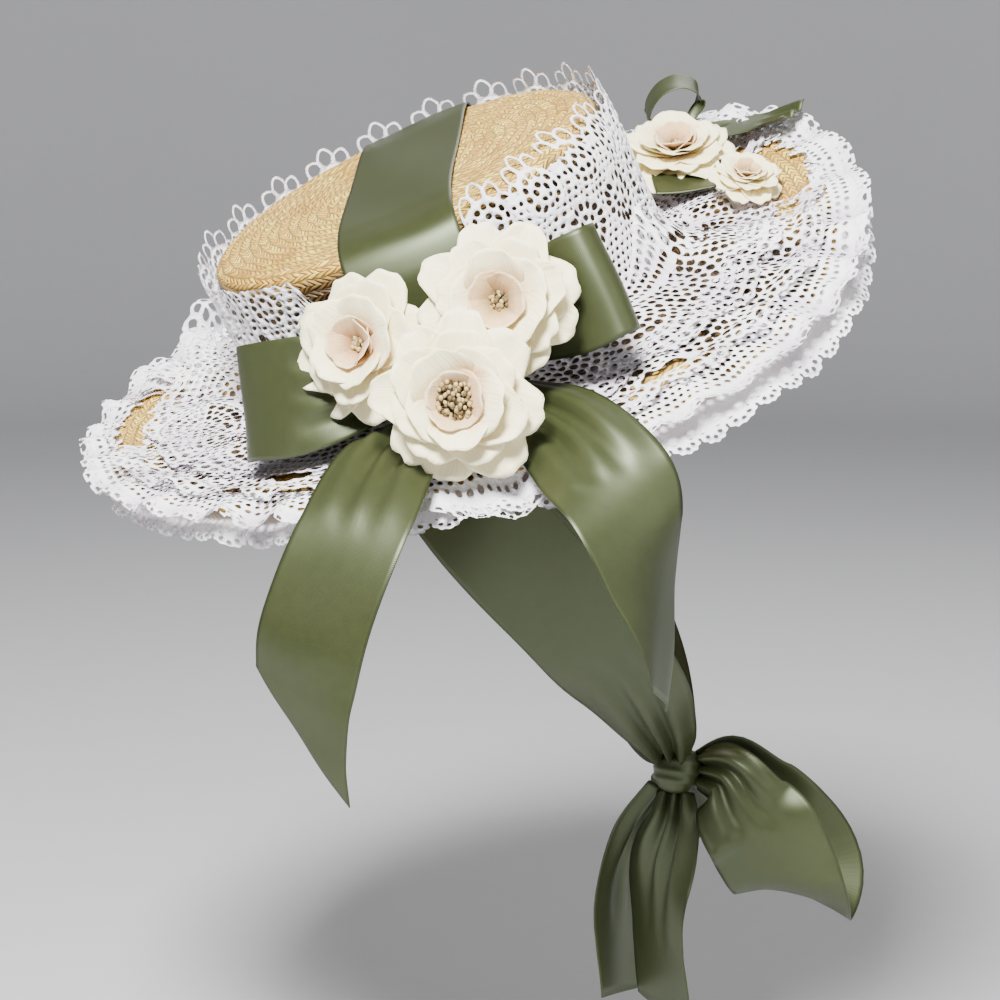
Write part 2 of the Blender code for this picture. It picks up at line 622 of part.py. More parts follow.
def main():
    clear_scene()
    hat = bpy.data.objects.new("worn_hat", None)
    bpy.context.collection.objects.link(hat)
    hat.rotation_euler = worn_rotation().to_euler()

    straw_crown(hat)
    straw_brim(hat)
    crown_lace(hat)
    frill_solid("brim_lace", BRIM_LACE_ROWS, 76, 15, 0.4, 0.004, hat)
    frill_solid("edge_lace", EDGE_LACE_ROWS, 80, 20, 1.3, 0.002, hat)
    frill_solid("under_lace", UNDER_LACE_ROWS, 76, 19, 2.2, 0.002, hat, under=True)
    crown_ribbon(hat)

    knot("bow_knot", *BOW_KNOT, hat)
    ribbon("bow_loop_left", BOW_LOOP_LEFT, BOW_KNOT, (0, -1), parent=hat)
    ribbon("bow_loop_right", BOW_LOOP_RIGHT, BOW_KNOT, (0, -1), parent=hat)
    knot_in_world = (in_world(*KNOT_AT), KNOT_RADIUS)
    ribbon("bow_tail_left", BOW_TAIL_LEFT, knot_in_world, slant=0.046)
    ribbon("bow_tail_right", BOW_TAIL_RIGHT, knot_in_world, slant=0.030)
    for bloom in BLOOMS[:3]:
        bloom_pieces(bloom, KNOT_AT, KNOT_RADIUS, hat)

    knot("back_knot", *BACK_KNOT, hat)
    ribbon("back_loop", BACK_LOOP, BACK_KNOT, (0, -1), parent=hat)
    ribbon("back_tail_out", BACK_TAIL_OUT, BACK_KNOT, parent=hat)
    ribbon("back_tail_near", BACK_TAIL_NEAR, BACK_KNOT, parent=hat)
    for bloom in BLOOMS[3:]:
        bloom_pieces(bloom, BACK_KNOT_AT, BACK_KNOT_RADIUS, hat)

    knot("chin_knot", *CHIN_KNOT)
    ribbon("tie_near", TIE_NEAR, CHIN_KNOT, (-1,))
    ribbon("tie_far", TIE_FAR, CHIN_KNOT, (-1,))
    ribbon("chin_loop_near", CHIN_LOOP_NEAR, CHIN_KNOT, (0, -1))
    ribbon("chin_loop_far", CHIN_LOOP_FAR, CHIN_KNOT, (0, -1))
    ribbon("chin_tail_front", CHIN_TAIL_FRONT, CHIN_KNOT, slant=0.012)
    ribbon("chin_tail_back", CHIN_TAIL_BACK, CHIN_KNOT, slant=0.012)


main()
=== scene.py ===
"""A straw hat as it shows: plaited straw, open lace frills, satin bows, cloth flowers and ribbons tied below.

Laid out as an add-on. Run as a script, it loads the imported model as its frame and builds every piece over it.
Lengths are in metres. Pieces sewn to the straw are worked out in the hat's own frame, whose origin is the
middle of the head opening, and are then turned as the hat is worn. Ribbons that hang are worked out upright.
"""

import math

import bpy
import numpy as np
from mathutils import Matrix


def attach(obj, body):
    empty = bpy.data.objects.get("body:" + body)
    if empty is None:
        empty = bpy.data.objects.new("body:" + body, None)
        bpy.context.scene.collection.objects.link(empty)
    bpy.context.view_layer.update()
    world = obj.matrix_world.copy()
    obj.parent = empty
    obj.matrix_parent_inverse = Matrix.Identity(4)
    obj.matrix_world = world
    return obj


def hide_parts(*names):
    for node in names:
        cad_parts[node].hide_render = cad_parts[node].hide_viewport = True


bl_info = {
    "name": "Straw hat with lace and bows",
    "version": (1, 0, 0),
    "blender": (4, 5, 0),
    "location": "View3D > Sidebar > Straw hat",
    "description": "Builds the straw, lace, satin and flowers of a hat over its packed model",
    "category": "Object",
}

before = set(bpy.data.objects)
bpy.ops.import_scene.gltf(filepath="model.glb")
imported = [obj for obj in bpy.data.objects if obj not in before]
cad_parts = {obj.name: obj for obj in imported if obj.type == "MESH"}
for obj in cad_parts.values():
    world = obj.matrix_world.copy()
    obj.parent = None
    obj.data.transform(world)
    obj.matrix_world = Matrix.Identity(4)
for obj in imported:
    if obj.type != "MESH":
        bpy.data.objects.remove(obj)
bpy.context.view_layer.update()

# How the hat is worn
LEAN_SIDE = math.radians(24.0)
LEAN_FORWARD = math.radians(14.5)

# The straw: the foot and height of the crown, the wall, and how the brim bends
CROWN_HALF_X = 0.097
CROWN_HALF_Y = 0.086
CROWN_HEIGHT = 0.076
STRAW = 0.002
BRIM_WIDTH = 0.080
BRIM_DROOP = 0.003
BRIM_LEAN = 0.0178
BRIM_LEAN_AT = math.radians(-15.0)
BRIM_WAVE = 0.0055
BRIM_WAVE_AT = math.radians(-50.0)
BRIM_LIFT = 0.015
BRIM_LIFT_AT = math.radians(30.0)
BRIM_CURVE = 1.4
# Where the brim's rows begin, just inside the foot of the crown
BRIM_START = -0.0024
# How far the plait's foot is sunk into the wall
PLAIT_SUNK = 0.0004
STRAW_COLUMNS = 320

# The trimmings, and where they are on the hat
SATIN_WIDTH = 0.054
SATIN_THICK = 0.0005
PETAL_THICK = 0.00035
LACE_THICK = 0.0016
CROWN_LACE_OFF = 0.0030
LACE_RISE = 0.0056
SCALLOPS = 22
SCALLOP_DIP_AT = math.radians(-130.0)
BOW_AT = math.radians(-95.0)
BACK_BOW_AT = math.radians(28.0)
FLOOR_LEVEL = -0.42

# Values of a lace pattern: the width of a bar of thread, and one that is past all thread
BAR = 0.0010
NO_THREAD = -0.0005

# Outline of the crown: half length, half width and height
CROWN_ROWS = np.array(
    [
        (0.0970, 0.0860, 0.0006),
        (0.0962, 0.0852, 0.0400),
        (0.0952, 0.0842, 0.0660),
        (0.0936, 0.0826, 0.0715),
        (0.0890, 0.0780, 0.0742),
        (0.0500, 0.0440, 0.0754),
        (0.0000, 0.0000, 0.0760),
    ]
)


def worn_turn():
    """The turn from the hat's own frame to the world, first about Y and then about X."""
    side, forward = -LEAN_SIDE, LEAN_FORWARD
    about_y = [
        [math.cos(side), 0, math.sin(side)],
        [0, 1, 0],
        [-math.sin(side), 0, math.cos(side)],
    ]
    about_x = [
        [1, 0, 0],
        [0, math.cos(forward), -math.sin(forward)],
        [0, math.sin(forward), math.cos(forward)],
    ]
    return np.array(about_x) @ np.array(about_y)


WORN = worn_turn()


def worn(points):
    """Points or directions of the hat's own frame, in the world."""
    return np.asarray(points, float) @ WORN.T


def smoothstep(value, low, high):
    """0 below low, 1 above high, and a smooth rise between."""
    t = np.clip((value - low) / (high - low), 0.0, 1.0)
    return t * t * (3 - 2 * t)


def unit(vectors):
    """Vectors of length 1 along the last axis."""
    return vectors / np.maximum(np.linalg.norm(vectors, axis=-1, keepdims=True), 1e-12)


def azimuths(count):
    """Azimuths at even steps round one turn."""
    return 2 * np.pi * np.arange(count) / count


def turn_from(angle, at):
    """Turn from one azimuth to another, between -pi and pi."""
    return np.angle(np.exp(1j * (angle - at)))


def length_so_far(points):
    """Length along a line of points, from 0 at the first: the sum of the steps between them."""
    return np.concatenate([[0], np.cumsum(np.linalg.norm(np.diff(points, axis=0), axis=1))])


# Meshes


def grid_quads(rows, columns, wrap=False):
    """Quads over a grid of points; wrap joins the last column to the first."""
    spans = columns if wrap else columns - 1
    r, c = np.meshgrid(np.arange(rows - 1), np.arange(spans), indexing="ij")
    here = r * columns + c
    beside = r * columns + (c + 1) % columns
    return np.stack([here, beside, beside + columns, here + columns], -1).reshape(-1, 4)


def as_triangles(quads):
    """Each quad as two triangles."""
    return np.vstack([quads[:, [0, 1, 2]], quads[:, [0, 2, 3]]])


def ring_normals(points):
    """Unit normals of a grid of points whose columns go round: the cross product of its two slopes."""
    padded = np.concatenate([points[:, -1:], points, points[:, :1]], axis=1)
    along = (padded[:, 2:] - padded[:, :-2]) / 2
    return unit(np.cross(along, np.gradient(points, axis=0)))


def corner_places(u, v, faces):
    """Texture places at each corner of the faces, from those along the columns and the rows of a grid."""
    u, v = np.broadcast_arrays(u, v)
    return np.stack([u.ravel()[faces], v.ravel()[faces]], -1).reshape(-1, 2)


def add_piece(name, points, faces, material, replaces=(), corner_uv=None, values=None):
    """A smooth mesh object from arrays, which rides on the hat and stands for the named solids."""
    mesh = bpy.data.meshes.new(name)
    mesh.vertices.add(len(points))
    mesh.vertices.foreach_set("co", np.ascontiguousarray(points, np.float32).ravel())
    mesh.loops.add(faces.size)
    mesh.loops.foreach_set("vertex_index", faces.astype(np.int32).ravel())
    mesh.polygons.add(len(faces))
    mesh.polygons.foreach_set("loop_start", np.arange(0, faces.size, faces.shape[1], dtype=np.int32))
    if corner_uv is not None:
        layer = mesh.uv_layers.new(name="UVMap")
        layer.uv.foreach_set("vector", np.ascontiguousarray(corner_uv, np.float32).ravel())
    for key, value in (values or {}).items():
        layer = mesh.attributes.new(key, "FLOAT", "POINT")
        layer.data.foreach_set("value", np.ascontiguousarray(value, np.float32))
    mesh.update(calc_edges=True)
    mesh.validate()
    mesh.shade_smooth()
    mesh.materials.append(material)
    obj = bpy.data.objects.new(name, mesh)
    bpy.context.scene.collection.objects.link(obj)
    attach(obj, "root")
    if replaces:
        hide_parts(*replaces)
    return obj


def thicken(obj, thickness):
    """A sheet gets a wall, half of it on each side."""
    wall = obj.modifiers.new("wall", "SOLIDIFY")
    wall.thickness = thickness
    wall.offset = 0.0


def cut_lace(points, thread, faces, values):
    """Keeps the part of a triangle mesh where the thread value is above zero.

    A triangle that the edge of a hole crosses is cut along the straight line where the value is zero.
    """
    count = len(points)
    inside = thread[faces] > 0
    number = inside.sum(1)
    order = np.arange(3)
    one = faces[number == 1]
    first = inside[number == 1].argmax(1)
    one = np.take_along_axis(one, (first[:, None] + order) % 3, axis=1)
    two = faces[number == 2]
    first = (~inside[number == 2]).argmax(1)
    two = np.take_along_axis(two, (first[:, None] + order) % 3, axis=1)
    edges = np.vstack([one[:, [0, 1]], one[:, [0, 2]], two[:, [1, 0]], two[:, [2, 0]]])
    low, high = edges.min(1).astype(np.int64), edges.max(1).astype(np.int64)
    _, index, back = np.unique(low * count + high, return_index=True, return_inverse=True)
    solid, empty = edges[index].T
    share = (thread[solid] / (thread[solid] - thread[empty]))[:, None]
    crossing = points[solid] + share * (points[empty] - points[solid])
    crossing_values = {k: v[solid] + share[:, 0] * (v[empty] - v[solid]) for k, v in values.items()}
    new = count + back.ravel()
    a, b, c, d = np.split(new, np.cumsum([len(one), len(one), len(two)]))
    made = np.vstack(
        [
            faces[number == 3],
            np.column_stack([one[:, 0], a, b]),
            np.column_stack([c, two[:, 1], two[:, 2]]),
            np.column_stack([c, two[:, 2], d]),
        ]
    )
    used, flat = np.unique(made, return_inverse=True)
    points = np.vstack([points, crossing])[used]
    values = {k: np.concatenate([v, crossing_values[k]])[used] for k, v in values.items()}
    return points, flat.reshape(-1, 3), values


def closed_rings(rings, sides):
    """Triangles of rings of points, closed at each end by a fan round one of the two points after them."""
    quads = as_triangles(grid_quads(rings, sides, wrap=True))[:, ::-1]
    here = np.arange(sides)
    beside = (here + 1) % sides
    foot, last = rings * sides, (rings - 1) * sides
    first_fan = np.column_stack([np.full(sides, foot), here, beside])
    last_fan = np.column_stack([np.full(sides, foot + 1), last + beside, last + here])
    return np.vstack([quads, first_fan, last_fan])


def copies(points, faces):
    """Many shapes with the same faces as one: points is (shapes, points of one, 3)."""
    offsets = np.arange(len(points))[:, None, None] * points.shape[1]
    return points.reshape(-1, 3), (faces[None] + offsets).reshape(-1, 3)


def tubes(paths, radii, sides):
    """Closed tubes round many paths at once: paths is (tubes, stations, 3) and radii (tubes, stations).

    Each ring is a circle in the two directions across the path, times the radius there.
    """
    number, stations, _ = paths.shape
    along = unit(np.gradient(paths, axis=1))
    steady = np.where(np.abs(along[..., 2:]) < 0.8, [[[0.0, 0.0, 1.0]]], [[[1.0, 0.0, 0.0]]])
    across = unit(np.cross(along, steady))
    up = np.cross(across, along)
    turn = azimuths(sides)
    ring = across[:, :, None] * np.cos(turn)[:, None] + up[:, :, None] * np.sin(turn)[:, None]
    points = paths[:, :, None] + ring * radii[:, :, None, None]
    points = np.concatenate([points.reshape(number, -1, 3), paths[:, [0, -1]]], axis=1)
    return copies(points, closed_rings(stations, sides))


def beads(centres, size, stretch, sides=6, rows=4):
    """Small closed ovals, one at each centre: size is the half width, and stretch lengthens them along Z.

    Each ring's radius is the sine, and its height the cosine, of the turn down from the top.
    """
    polar = np.pi * np.arange(1, rows) / rows
    turn = azimuths(sides)
    ring = np.stack(
        [
            np.sin(polar)[:, None] * np.cos(turn),
            np.sin(polar)[:, None] * np.sin(turn),
            np.cos(polar)[:, None] * stretch * np.ones(sides),
        ],
        -1,
    ).reshape(-1, 3)
    shape = np.vstack([ring, [[0, 0, stretch], [0, 0, -stretch]]])
    points = centres[:, None] + shape * np.broadcast_to(size, (len(centres),))[:, None, None]
    return copies(points, closed_rings(rows - 1, sides))


def joined(parts):
    """Several (points, faces) pairs as one."""
    points, faces, start = [], [], 0
    for part_points, part_faces in parts:
        points.append(part_points)
        faces.append(part_faces + start)
        start += len(part_points)
    return np.vstack(points), np.vstack(faces)


# Shader node groups


def new_group(name, inputs, outputs):
    """An empty shader group: a vector and named numbers go in, and named values come out."""
    group = bpy.data.node_groups.new(name, "ShaderNodeTree")
    group.interface.new_socket("Vector", in_out="INPUT", socket_type="NodeSocketVector")
    for label, value in inputs.items():
        socket = group.interface.new_socket(label, in_out="INPUT", socket_type="NodeSocketFloat")
        socket.default_value = value
    for label in outputs:
        group.interface.new_socket(label, in_out="OUTPUT", socket_type="NodeSocketFloat")
    return group, group.nodes.new("NodeGroupInput"), group.nodes.new("NodeGroupOutput")


def math_node(tree, operation, first, second=None, third=None):
    """A math node whose inputs are sockets or numbers; returns its output."""
    node = tree.nodes.new("ShaderNodeMath")
    node.operation = operation
    for place, value in enumerate((first, second, third)):
        if value is None:
            continue
        if isinstance(value, (int, float)):
            node.inputs[place].default_value = value
        else:
            tree.links.new(value, node.inputs[place])
    return node.outputs[0]


def noise_node(tree, vector, scale, detail):
    """Noise at a vector, of a scale and a number of finer layers; returns its value."""
    node = tree.nodes.new("ShaderNodeTexNoise")
    node.inputs["Scale"].default_value = scale
    node.inputs["Detail"].default_value = detail
    node.inputs["Roughness"].default_value = 0.55
    tree.links.new(vector, node.inputs["Vector"])
    return node.outputs["Fac"]


def split_node(tree, vector):
    """The three parts of a vector, as outputs X, Y and Z."""
    node = tree.nodes.new("ShaderNodeSeparateXYZ")
    tree.links.new(vector, node.inputs[0])
    return node.outputs


def join_node(tree, *parts):
    """Up to three values as one vector."""
    node = tree.nodes.new("ShaderNodeCombineXYZ")
    for place, part in enumerate(parts):
        tree.links.new(part, node.inputs[place])
    return node.outputs[0]


def ramp_node(tree, factor, stops):
    """A colour ramp: stops are (place, colour)."""
    node = tree.nodes.new("ShaderNodeValToRGB")
    ramp = node.color_ramp
    while len(ramp.elements) < len(stops):
        ramp.elements.new(0.5)
    for element, (place, colour) in zip(ramp.elements, stops):
        element.position = place
        element.color = (*colour, 1.0)
    tree.links.new(factor, node.inputs["Fac"])
    return node.outputs["Color"]


def mix_node(tree, kind, factor, first, second):
    """A colour mix; the factor and colours are sockets or values."""
    node = tree.nodes.new("ShaderNodeMix")
    node.data_type = "RGBA"
    node.blend_type = kind
    for label, value in (("Factor_Float", factor), ("A_Color", first), ("B_Color", second)):
        socket = next(s for s in node.inputs if s.identifier == label)
        if isinstance(value, (int, float)):
            socket.default_value = value
        elif isinstance(value, tuple):
            socket.default_value = (*value[:3], 1.0)
        else:
            tree.links.new(value, socket)
    return next(s for s in node.outputs if s.identifier == "Result_Color")


def bump_node(tree, height, distance, strength=1.0):
    """A normal that a height tilts, as if it stood up by a distance."""
    node = tree.nodes.new("ShaderNodeBump")
    node.inputs["Distance"].default_value = distance
    node.inputs["Strength"].default_value = strength
    tree.links.new(height, node.inputs["Height"])
    return node.outputs["Normal"]


def mottle_group():
    """Uneven colour: a mask from broad and fine noise in object coordinates."""
    found = bpy.data.node_groups.get("uneven_colour")
    if found:
        return found
    group, source, result = new_group("uneven_colour", {"Broad": 30.0, "Fine": 300.0}, ["Mask"])
    masks = []
    for label in ("Broad", "Fine"):
        node = group.nodes.new("ShaderNodeTexNoise")
        node.inputs["Detail"].default_value = 3.0
        group.links.new(source.outputs["Vector"], node.inputs["Vector"])
        group.links.new(source.outputs[label], node.inputs["Scale"])
        masks.append(node.outputs["Fac"])
    half = math_node(group, "MULTIPLY", masks[0], 0.6)
    both = math_node(group, "MULTIPLY_ADD", masks[1], 0.4, half)
    group.links.new(both, result.inputs["Mask"])
    return group


def plait_group():
    """Plaited straw: flat strands that cross each row in chevrons.

    The vector holds turns round the hat and rows out from its middle. Each row has some strands more than the
    one inside it, so all are equally wide. A strand's place is the way along the row plus the distance from
    the row's middle times the slant, so strands run back from the middle to both edges. Its height is a power
    of a sine across the strand times a power of a sine across the row.
    """
    found = bpy.data.node_groups.get("plaited_straw")
    if found:
        return found
    numbers = {"More": 7.0, "Slant": 2.6, "Drift": 0.0}
    group, source, result = new_group("plaited_straw", numbers, ["Height", "Tone", "Fibre", "Gap"])
    split = split_node(group, source.outputs["Vector"])
    row = math_node(group, "FLOOR", split["Y"])
    across = math_node(group, "FRACT", split["Y"])
    middle = math_node(group, "ABSOLUTE", math_node(group, "SUBTRACT", across, 0.5))
    count = math_node(group, "MULTIPLY", row, source.outputs["More"])
    way = math_node(group, "MULTIPLY_ADD", split["X"], count, source.outputs["Drift"])
    shifted = math_node(group, "MULTIPLY_ADD", row, 0.37, way)
    slanted = math_node(group, "MULTIPLY", middle, source.outputs["Slant"])
    place = math_node(group, "ADD", slanted, shifted)
    strand = math_node(group, "FLOOR", place)
    within = math_node(group, "FRACT", place)
    arches = []
    for share, power in ((within, 0.7), (across, 0.5)):
        sine = math_node(group, "SINE", math_node(group, "MULTIPLY", share, math.pi))
        arches.append(math_node(group, "POWER", sine, power))
    rounded = math_node(group, "MULTIPLY", *arches)
    white = group.nodes.new("ShaderNodeTexWhiteNoise")
    group.links.new(join_node(group, strand, row), white.inputs["Vector"])
    tone = white.outputs["Value"]
    lifted = math_node(group, "MULTIPLY_ADD", tone, 0.55, 0.45)
    strand_length = math_node(group, "MULTIPLY", place, 4.0)
    strand_width = math_node(group, "MULTIPLY", split["Y"], 1.1)
    fibre = noise_node(group, join_node(group, strand_length, strand_width, row), 1.0, 3.0)
    height = math_node(group, "MULTIPLY_ADD", fibre, 0.25, math_node(group, "MULTIPLY", rounded, lifted))
    gap = math_node(group, "LESS_THAN", rounded, 0.44)
    for label, value in (("Height", height), ("Tone", tone), ("Fibre", fibre), ("Gap", gap)):
        group.links.new(value, result.inputs[label])
    return group


def use_group(tree, group, vector, **numbers):
    """A group put to use at a vector, with plain numbers on its other inputs; returns its node."""
    node = tree.nodes.new("ShaderNodeGroup")
    node.node_tree = group
    tree.links.new(vector, node.inputs["Vector"])
    for label, value in numbers.items():
        node.inputs[label].default_value = value
    return node


def start_material(name, roughness, **numbers):
    """A material with its shader's plain values set; returns the material, its tree and its shader."""
    made = bpy.data.materials.new(name)
    made.use_nodes = True
    tree = made.node_tree
    shader = next(n for n in tree.nodes if n.type == "BSDF_PRINCIPLED")
    shader.inputs["Roughness"].default_value = roughness
    for label, value in numbers.items():
        shader.inputs[label.replace("_", " ")].default_value = value
    return made, tree, shader


def coordinates(tree, label):
    """A set of texture coordinates by its label."""
    return tree.nodes.new("ShaderNodeTexCoord").outputs[label]


def attribute(tree, name):
    """A value that the mesh holds at each point."""
    node = tree.nodes.new("ShaderNodeAttribute")
    node.attribute_name = name
    return node.outputs["Fac"]


def shade(colour, factor):
    """A colour times a factor, at most white."""
    return tuple(min(1.0, c * factor) for c in colour)


WHITE = (1, 1, 1)
BLACK = (0, 0, 0)


def mottled(tree, broad, fine):
    """The mask of uneven colour in object coordinates, at two scales."""
    node = use_group(tree, mottle_group(), coordinates(tree, "Object"), Broad=broad, Fine=fine)
    return node.outputs["Mask"]


def straw_material(colour):
    """Golden plaited straw: a tone for each strand, fine fibres, and brown gaps between strands and rows."""
    made, tree, shader = start_material("plaited straw", 0.5, Specular_IOR_Level=0.45)
    warp = tree.nodes.new("ShaderNodeTexNoise")
    warp.inputs["Scale"].default_value = 120.0
    tree.links.new(coordinates(tree, "Object"), warp.inputs["Vector"])
    away = tree.nodes.new("ShaderNodeVectorMath")
    away.operation = "MULTIPLY_ADD"
    away.inputs[1].default_value = (0.0, 0.80, 0.0)
    tree.links.new(warp.outputs["Color"], away.inputs[0])
    tree.links.new(coordinates(tree, "UV"), away.inputs[2])
    plait = use_group(tree, plait_group(), away.outputs[0], More=7.0, Slant=2.2)
    tree.links.new(warp.outputs["Fac"], plait.inputs["Drift"])
    mottle = mottled(tree, 30.0, 240.0)
    fibre = math_node(tree, "MULTIPLY", plait.outputs["Fibre"], 0.5)
    tone = math_node(tree, "MULTIPLY_ADD", plait.outputs["Tone"], 0.5, fibre)
    stops = [(0.15, shade(colour, 0.36)), (0.36, shade(colour, 0.78))]
    stops += [(0.57, colour), (0.78, shade(colour, 1.55))]
    strands = ramp_node(tree, tone, stops)
    worn_spots = ramp_node(tree, mottle, [(0.38, (0.74, 0.58, 0.40)), (0.56, WHITE)])
    blotched = mix_node(tree, "MULTIPLY", 0.7, strands, worn_spots)
    gap = math_node(tree, "MULTIPLY", plait.outputs["Gap"], 0.75)
    gapped = mix_node(tree, "MIX", gap, blotched, shade(colour, 0.26))
    # Painted shade: the straw is darkened where its bare value is 0, under the lace, so the lace's holes look
    # dark.
    painted_lace_shade = ramp_node(tree, attribute(tree, "bare"), [(0.0, (0.13, 0.11, 0.11)), (1.0, WHITE)])
    tree.links.new(mix_node(tree, "MULTIPLY", 1.0, gapped, painted_lace_shade), shader.inputs["Base Color"])
    tree.links.new(bump_node(tree, plait.outputs["Height"], 0.0014), shader.inputs["Normal"])
    return made


def lace_material(colour):
    """White cotton lace: painted lilac-grey shade in folds and on the thread's sides; bumpy with twisted
    thread.
    """
    made, tree, shader = start_material("cotton lace", 0.8, Sheen_Weight=0.2)
    # Painted shade: lilac-grey where the crest value is low, in the troughs of folds, mixed with a random
    # mottle of tone.
    crest = math_node(tree, "MULTIPLY", attribute(tree, "crest"), 0.55)
    depth = math_node(tree, "MULTIPLY_ADD", mottled(tree, 34.0, 520.0), 0.6, crest)
    red, green, blue = colour
    folds = [(0.22, (red * 0.66, green * 0.60, blue * 0.66)), (0.46, (red * 0.90, green * 0.87, blue * 0.91))]
    fold_shaded = ramp_node(tree, depth, [*folds, (0.66, colour)])
    # Painted shade on the thread's rounded sides: darker where the relief falls towards a hole's edge.
    thread_shade_stops = [(0.0, (0.40, 0.37, 0.38)), (0.35, (0.80, 0.78, 0.79)), (0.8, WHITE)]
    dips = ramp_node(tree, attribute(tree, "relief"), thread_shade_stops)
    tree.links.new(mix_node(tree, "MULTIPLY", 0.9, fold_shaded, dips), shader.inputs["Base Color"])
    twist = noise_node(tree, coordinates(tree, "Object"), 1300.0, 1.0)
    tree.links.new(bump_node(tree, twist, 0.0006, 0.8), shader.inputs["Normal"])
    return made


def satin_material(colour):
    """Satin ribbon: fine ribs across its length, a soft broad sheen, and a slightly uneven green."""
    found = bpy.data.materials.get("satin ribbon")
    if found:
        return found
    made, tree, shader = start_material("satin ribbon", 0.45, Specular_IOR_Level=0.75, Anisotropic=0.55)
    shader.inputs["Specular Tint"].default_value = (0.80, 0.92, 0.62, 1.0)
    split = split_node(tree, coordinates(tree, "UV"))
    rib_pitch, cord_pitch, selvedge_width = 0.0007, 0.0005, 0.0011
    ribs = math_node(tree, "SINE", math_node(tree, "MULTIPLY", split["Y"], 2 * math.pi / rib_pitch))
    cords = math_node(tree, "SINE", math_node(tree, "MULTIPLY", split["X"], 2 * math.pi / cord_pitch))
    weave = math_node(tree, "MULTIPLY_ADD", cords, 0.4, ribs)
    from_middle = math_node(tree, "ABSOLUTE", split["X"])
    selvedge = math_node(tree, "GREATER_THAN", from_middle, SATIN_WIDTH / 2 - selvedge_width)
    stops = [(0.3, shade(colour, 0.82)), (0.7, shade(colour, 1.15))]
    green = ramp_node(tree, mottled(tree, 14.0, 220.0), stops)
    trim = math_node(tree, "MULTIPLY", selvedge, 0.35)
    trimmed = mix_node(tree, "MULTIPLY", trim, green, shade(colour, 2.2))
    tree.links.new(trimmed, shader.inputs["Base Color"])
    tree.links.new(bump_node(tree, weave, 0.00004, 0.2), shader.inputs["Normal"])
    grain = tree.nodes.new("ShaderNodeTangent")
    grain.direction_type = "UV_MAP"
    grain.uv_map = "UVMap"
    tree.links.new(grain.outputs[0], shader.inputs["Tangent"])
    return made


def petal_material(name, colour, base, rim):
    """Thin ivory cloth: darker foot, part tint and part painted shade; rim tint; faint veins from foot to rim.
    """
    made, tree, shader = start_material(name, 0.72, Sheen_Weight=0.2)
    split = split_node(tree, coordinates(tree, "UV"))
    uneven_edge = math_node(tree, "SUBTRACT", mottled(tree, 70.0, 700.0), 0.5)
    reach = math_node(tree, "MULTIPLY_ADD", uneven_edge, 0.5, split["Y"])
    clouds = noise_node(tree, coordinates(tree, "Object"), 42.0, 1.0)
    blush = ramp_node(tree, clouds, [(0.40, (0.98, 0.80, 0.68)), (0.50, WHITE), (0.60, (0.93, 0.96, 0.70))])
    inward = ramp_node(tree, reach, [(0.30, WHITE), (0.85, BLACK)])
    # Darker towards the foot: partly the cloth's tint, partly painted shade deep in the bloom's cup.
    ends = ramp_node(tree, reach, [(0.24, base), (0.72, colour), (0.88, colour), (1.0, rim)])
    body = mix_node(tree, "MULTIPLY", math_node(tree, "MULTIPLY", inward, 0.9), ends, blush)
    across = math_node(tree, "MULTIPLY", split["X"], 26.0)
    outward = math_node(tree, "MULTIPLY", split["Y"], 1.6)
    veins = noise_node(tree, join_node(tree, across, outward), 1.0, 2.0)
    vein_tint = ramp_node(tree, veins, [(0.3, (0.84, 0.80, 0.76)), (0.6, WHITE)])
    cloudy = mix_node(tree, "MULTIPLY", 0.35, body, vein_tint)
    tree.links.new(cloudy, shader.inputs["Base Color"])
    tree.links.new(bump_node(tree, veins, 0.0005, 0.6), shader.inputs["Normal"])
    return made


def stamen_material(colour, tip):
    """Brown threads with cream tips, told apart by the tip value, and grainy."""
    made, tree, shader = start_material("stamen thread", 0.8)
    mottle = mottled(tree, 260.0, 1500.0)
    dark = ramp_node(tree, mottle, [(0.3, shade(colour, 0.6)), (0.7, shade(colour, 1.4))])
    pale = ramp_node(tree, mottle, [(0.3, shade(tip, 0.75)), (0.6, tip)])
    both = mix_node(tree, "MIX", attribute(tree, "tip"), dark, pale)
    tree.links.new(both, shader.inputs["Base Color"])
    tree.links.new(bump_node(tree, mottle, 0.0003, 0.6), shader.inputs["Normal"])
    return made


# Shapes of the straw


def crown_point(angle, reach, height):
    """A point on the oval that a reach widens from the foot of the crown, at an azimuth and a height."""
    x = (CROWN_HALF_X + reach) * np.cos(angle)
    y = (CROWN_HALF_Y + reach) * np.sin(angle)
    return np.stack(np.broadcast_arrays(x, y, height), -1)


def brim_height(angle, reach):
    """Height of the top of the brim, which bends more and more towards its edge.

    The drop at the edge goes round the hat as a lean, a wave and a lift, and grows with a power of the reach.
    """
    drop = (
        BRIM_DROOP
        + BRIM_LEAN * np.cos(angle - BRIM_LEAN_AT)
        + BRIM_WAVE * np.cos(2 * (angle - BRIM_WAVE_AT))
        - BRIM_LIFT * np.maximum(0.0, np.cos(angle - BRIM_LIFT_AT)) ** 3
    )
    return -drop * np.maximum(0.0, reach / BRIM_WIDTH) ** BRIM_CURVE


def crown_outline(share):
    """Half length, half width and height at a share of the way from the wall's foot to the top's middle.

    The second result is the length of that way.
    """
    steps = np.linalg.norm(np.diff(CROWN_ROWS[:, [0, 2]], axis=0), axis=1)
    place = np.concatenate([[0], np.cumsum(steps)]) / steps.sum()
    rounded = np.clip(share, 0, 1)
    return np.stack([np.interp(rounded, place, CROWN_ROWS[:, i]) for i in range(3)], -1), steps.sum()


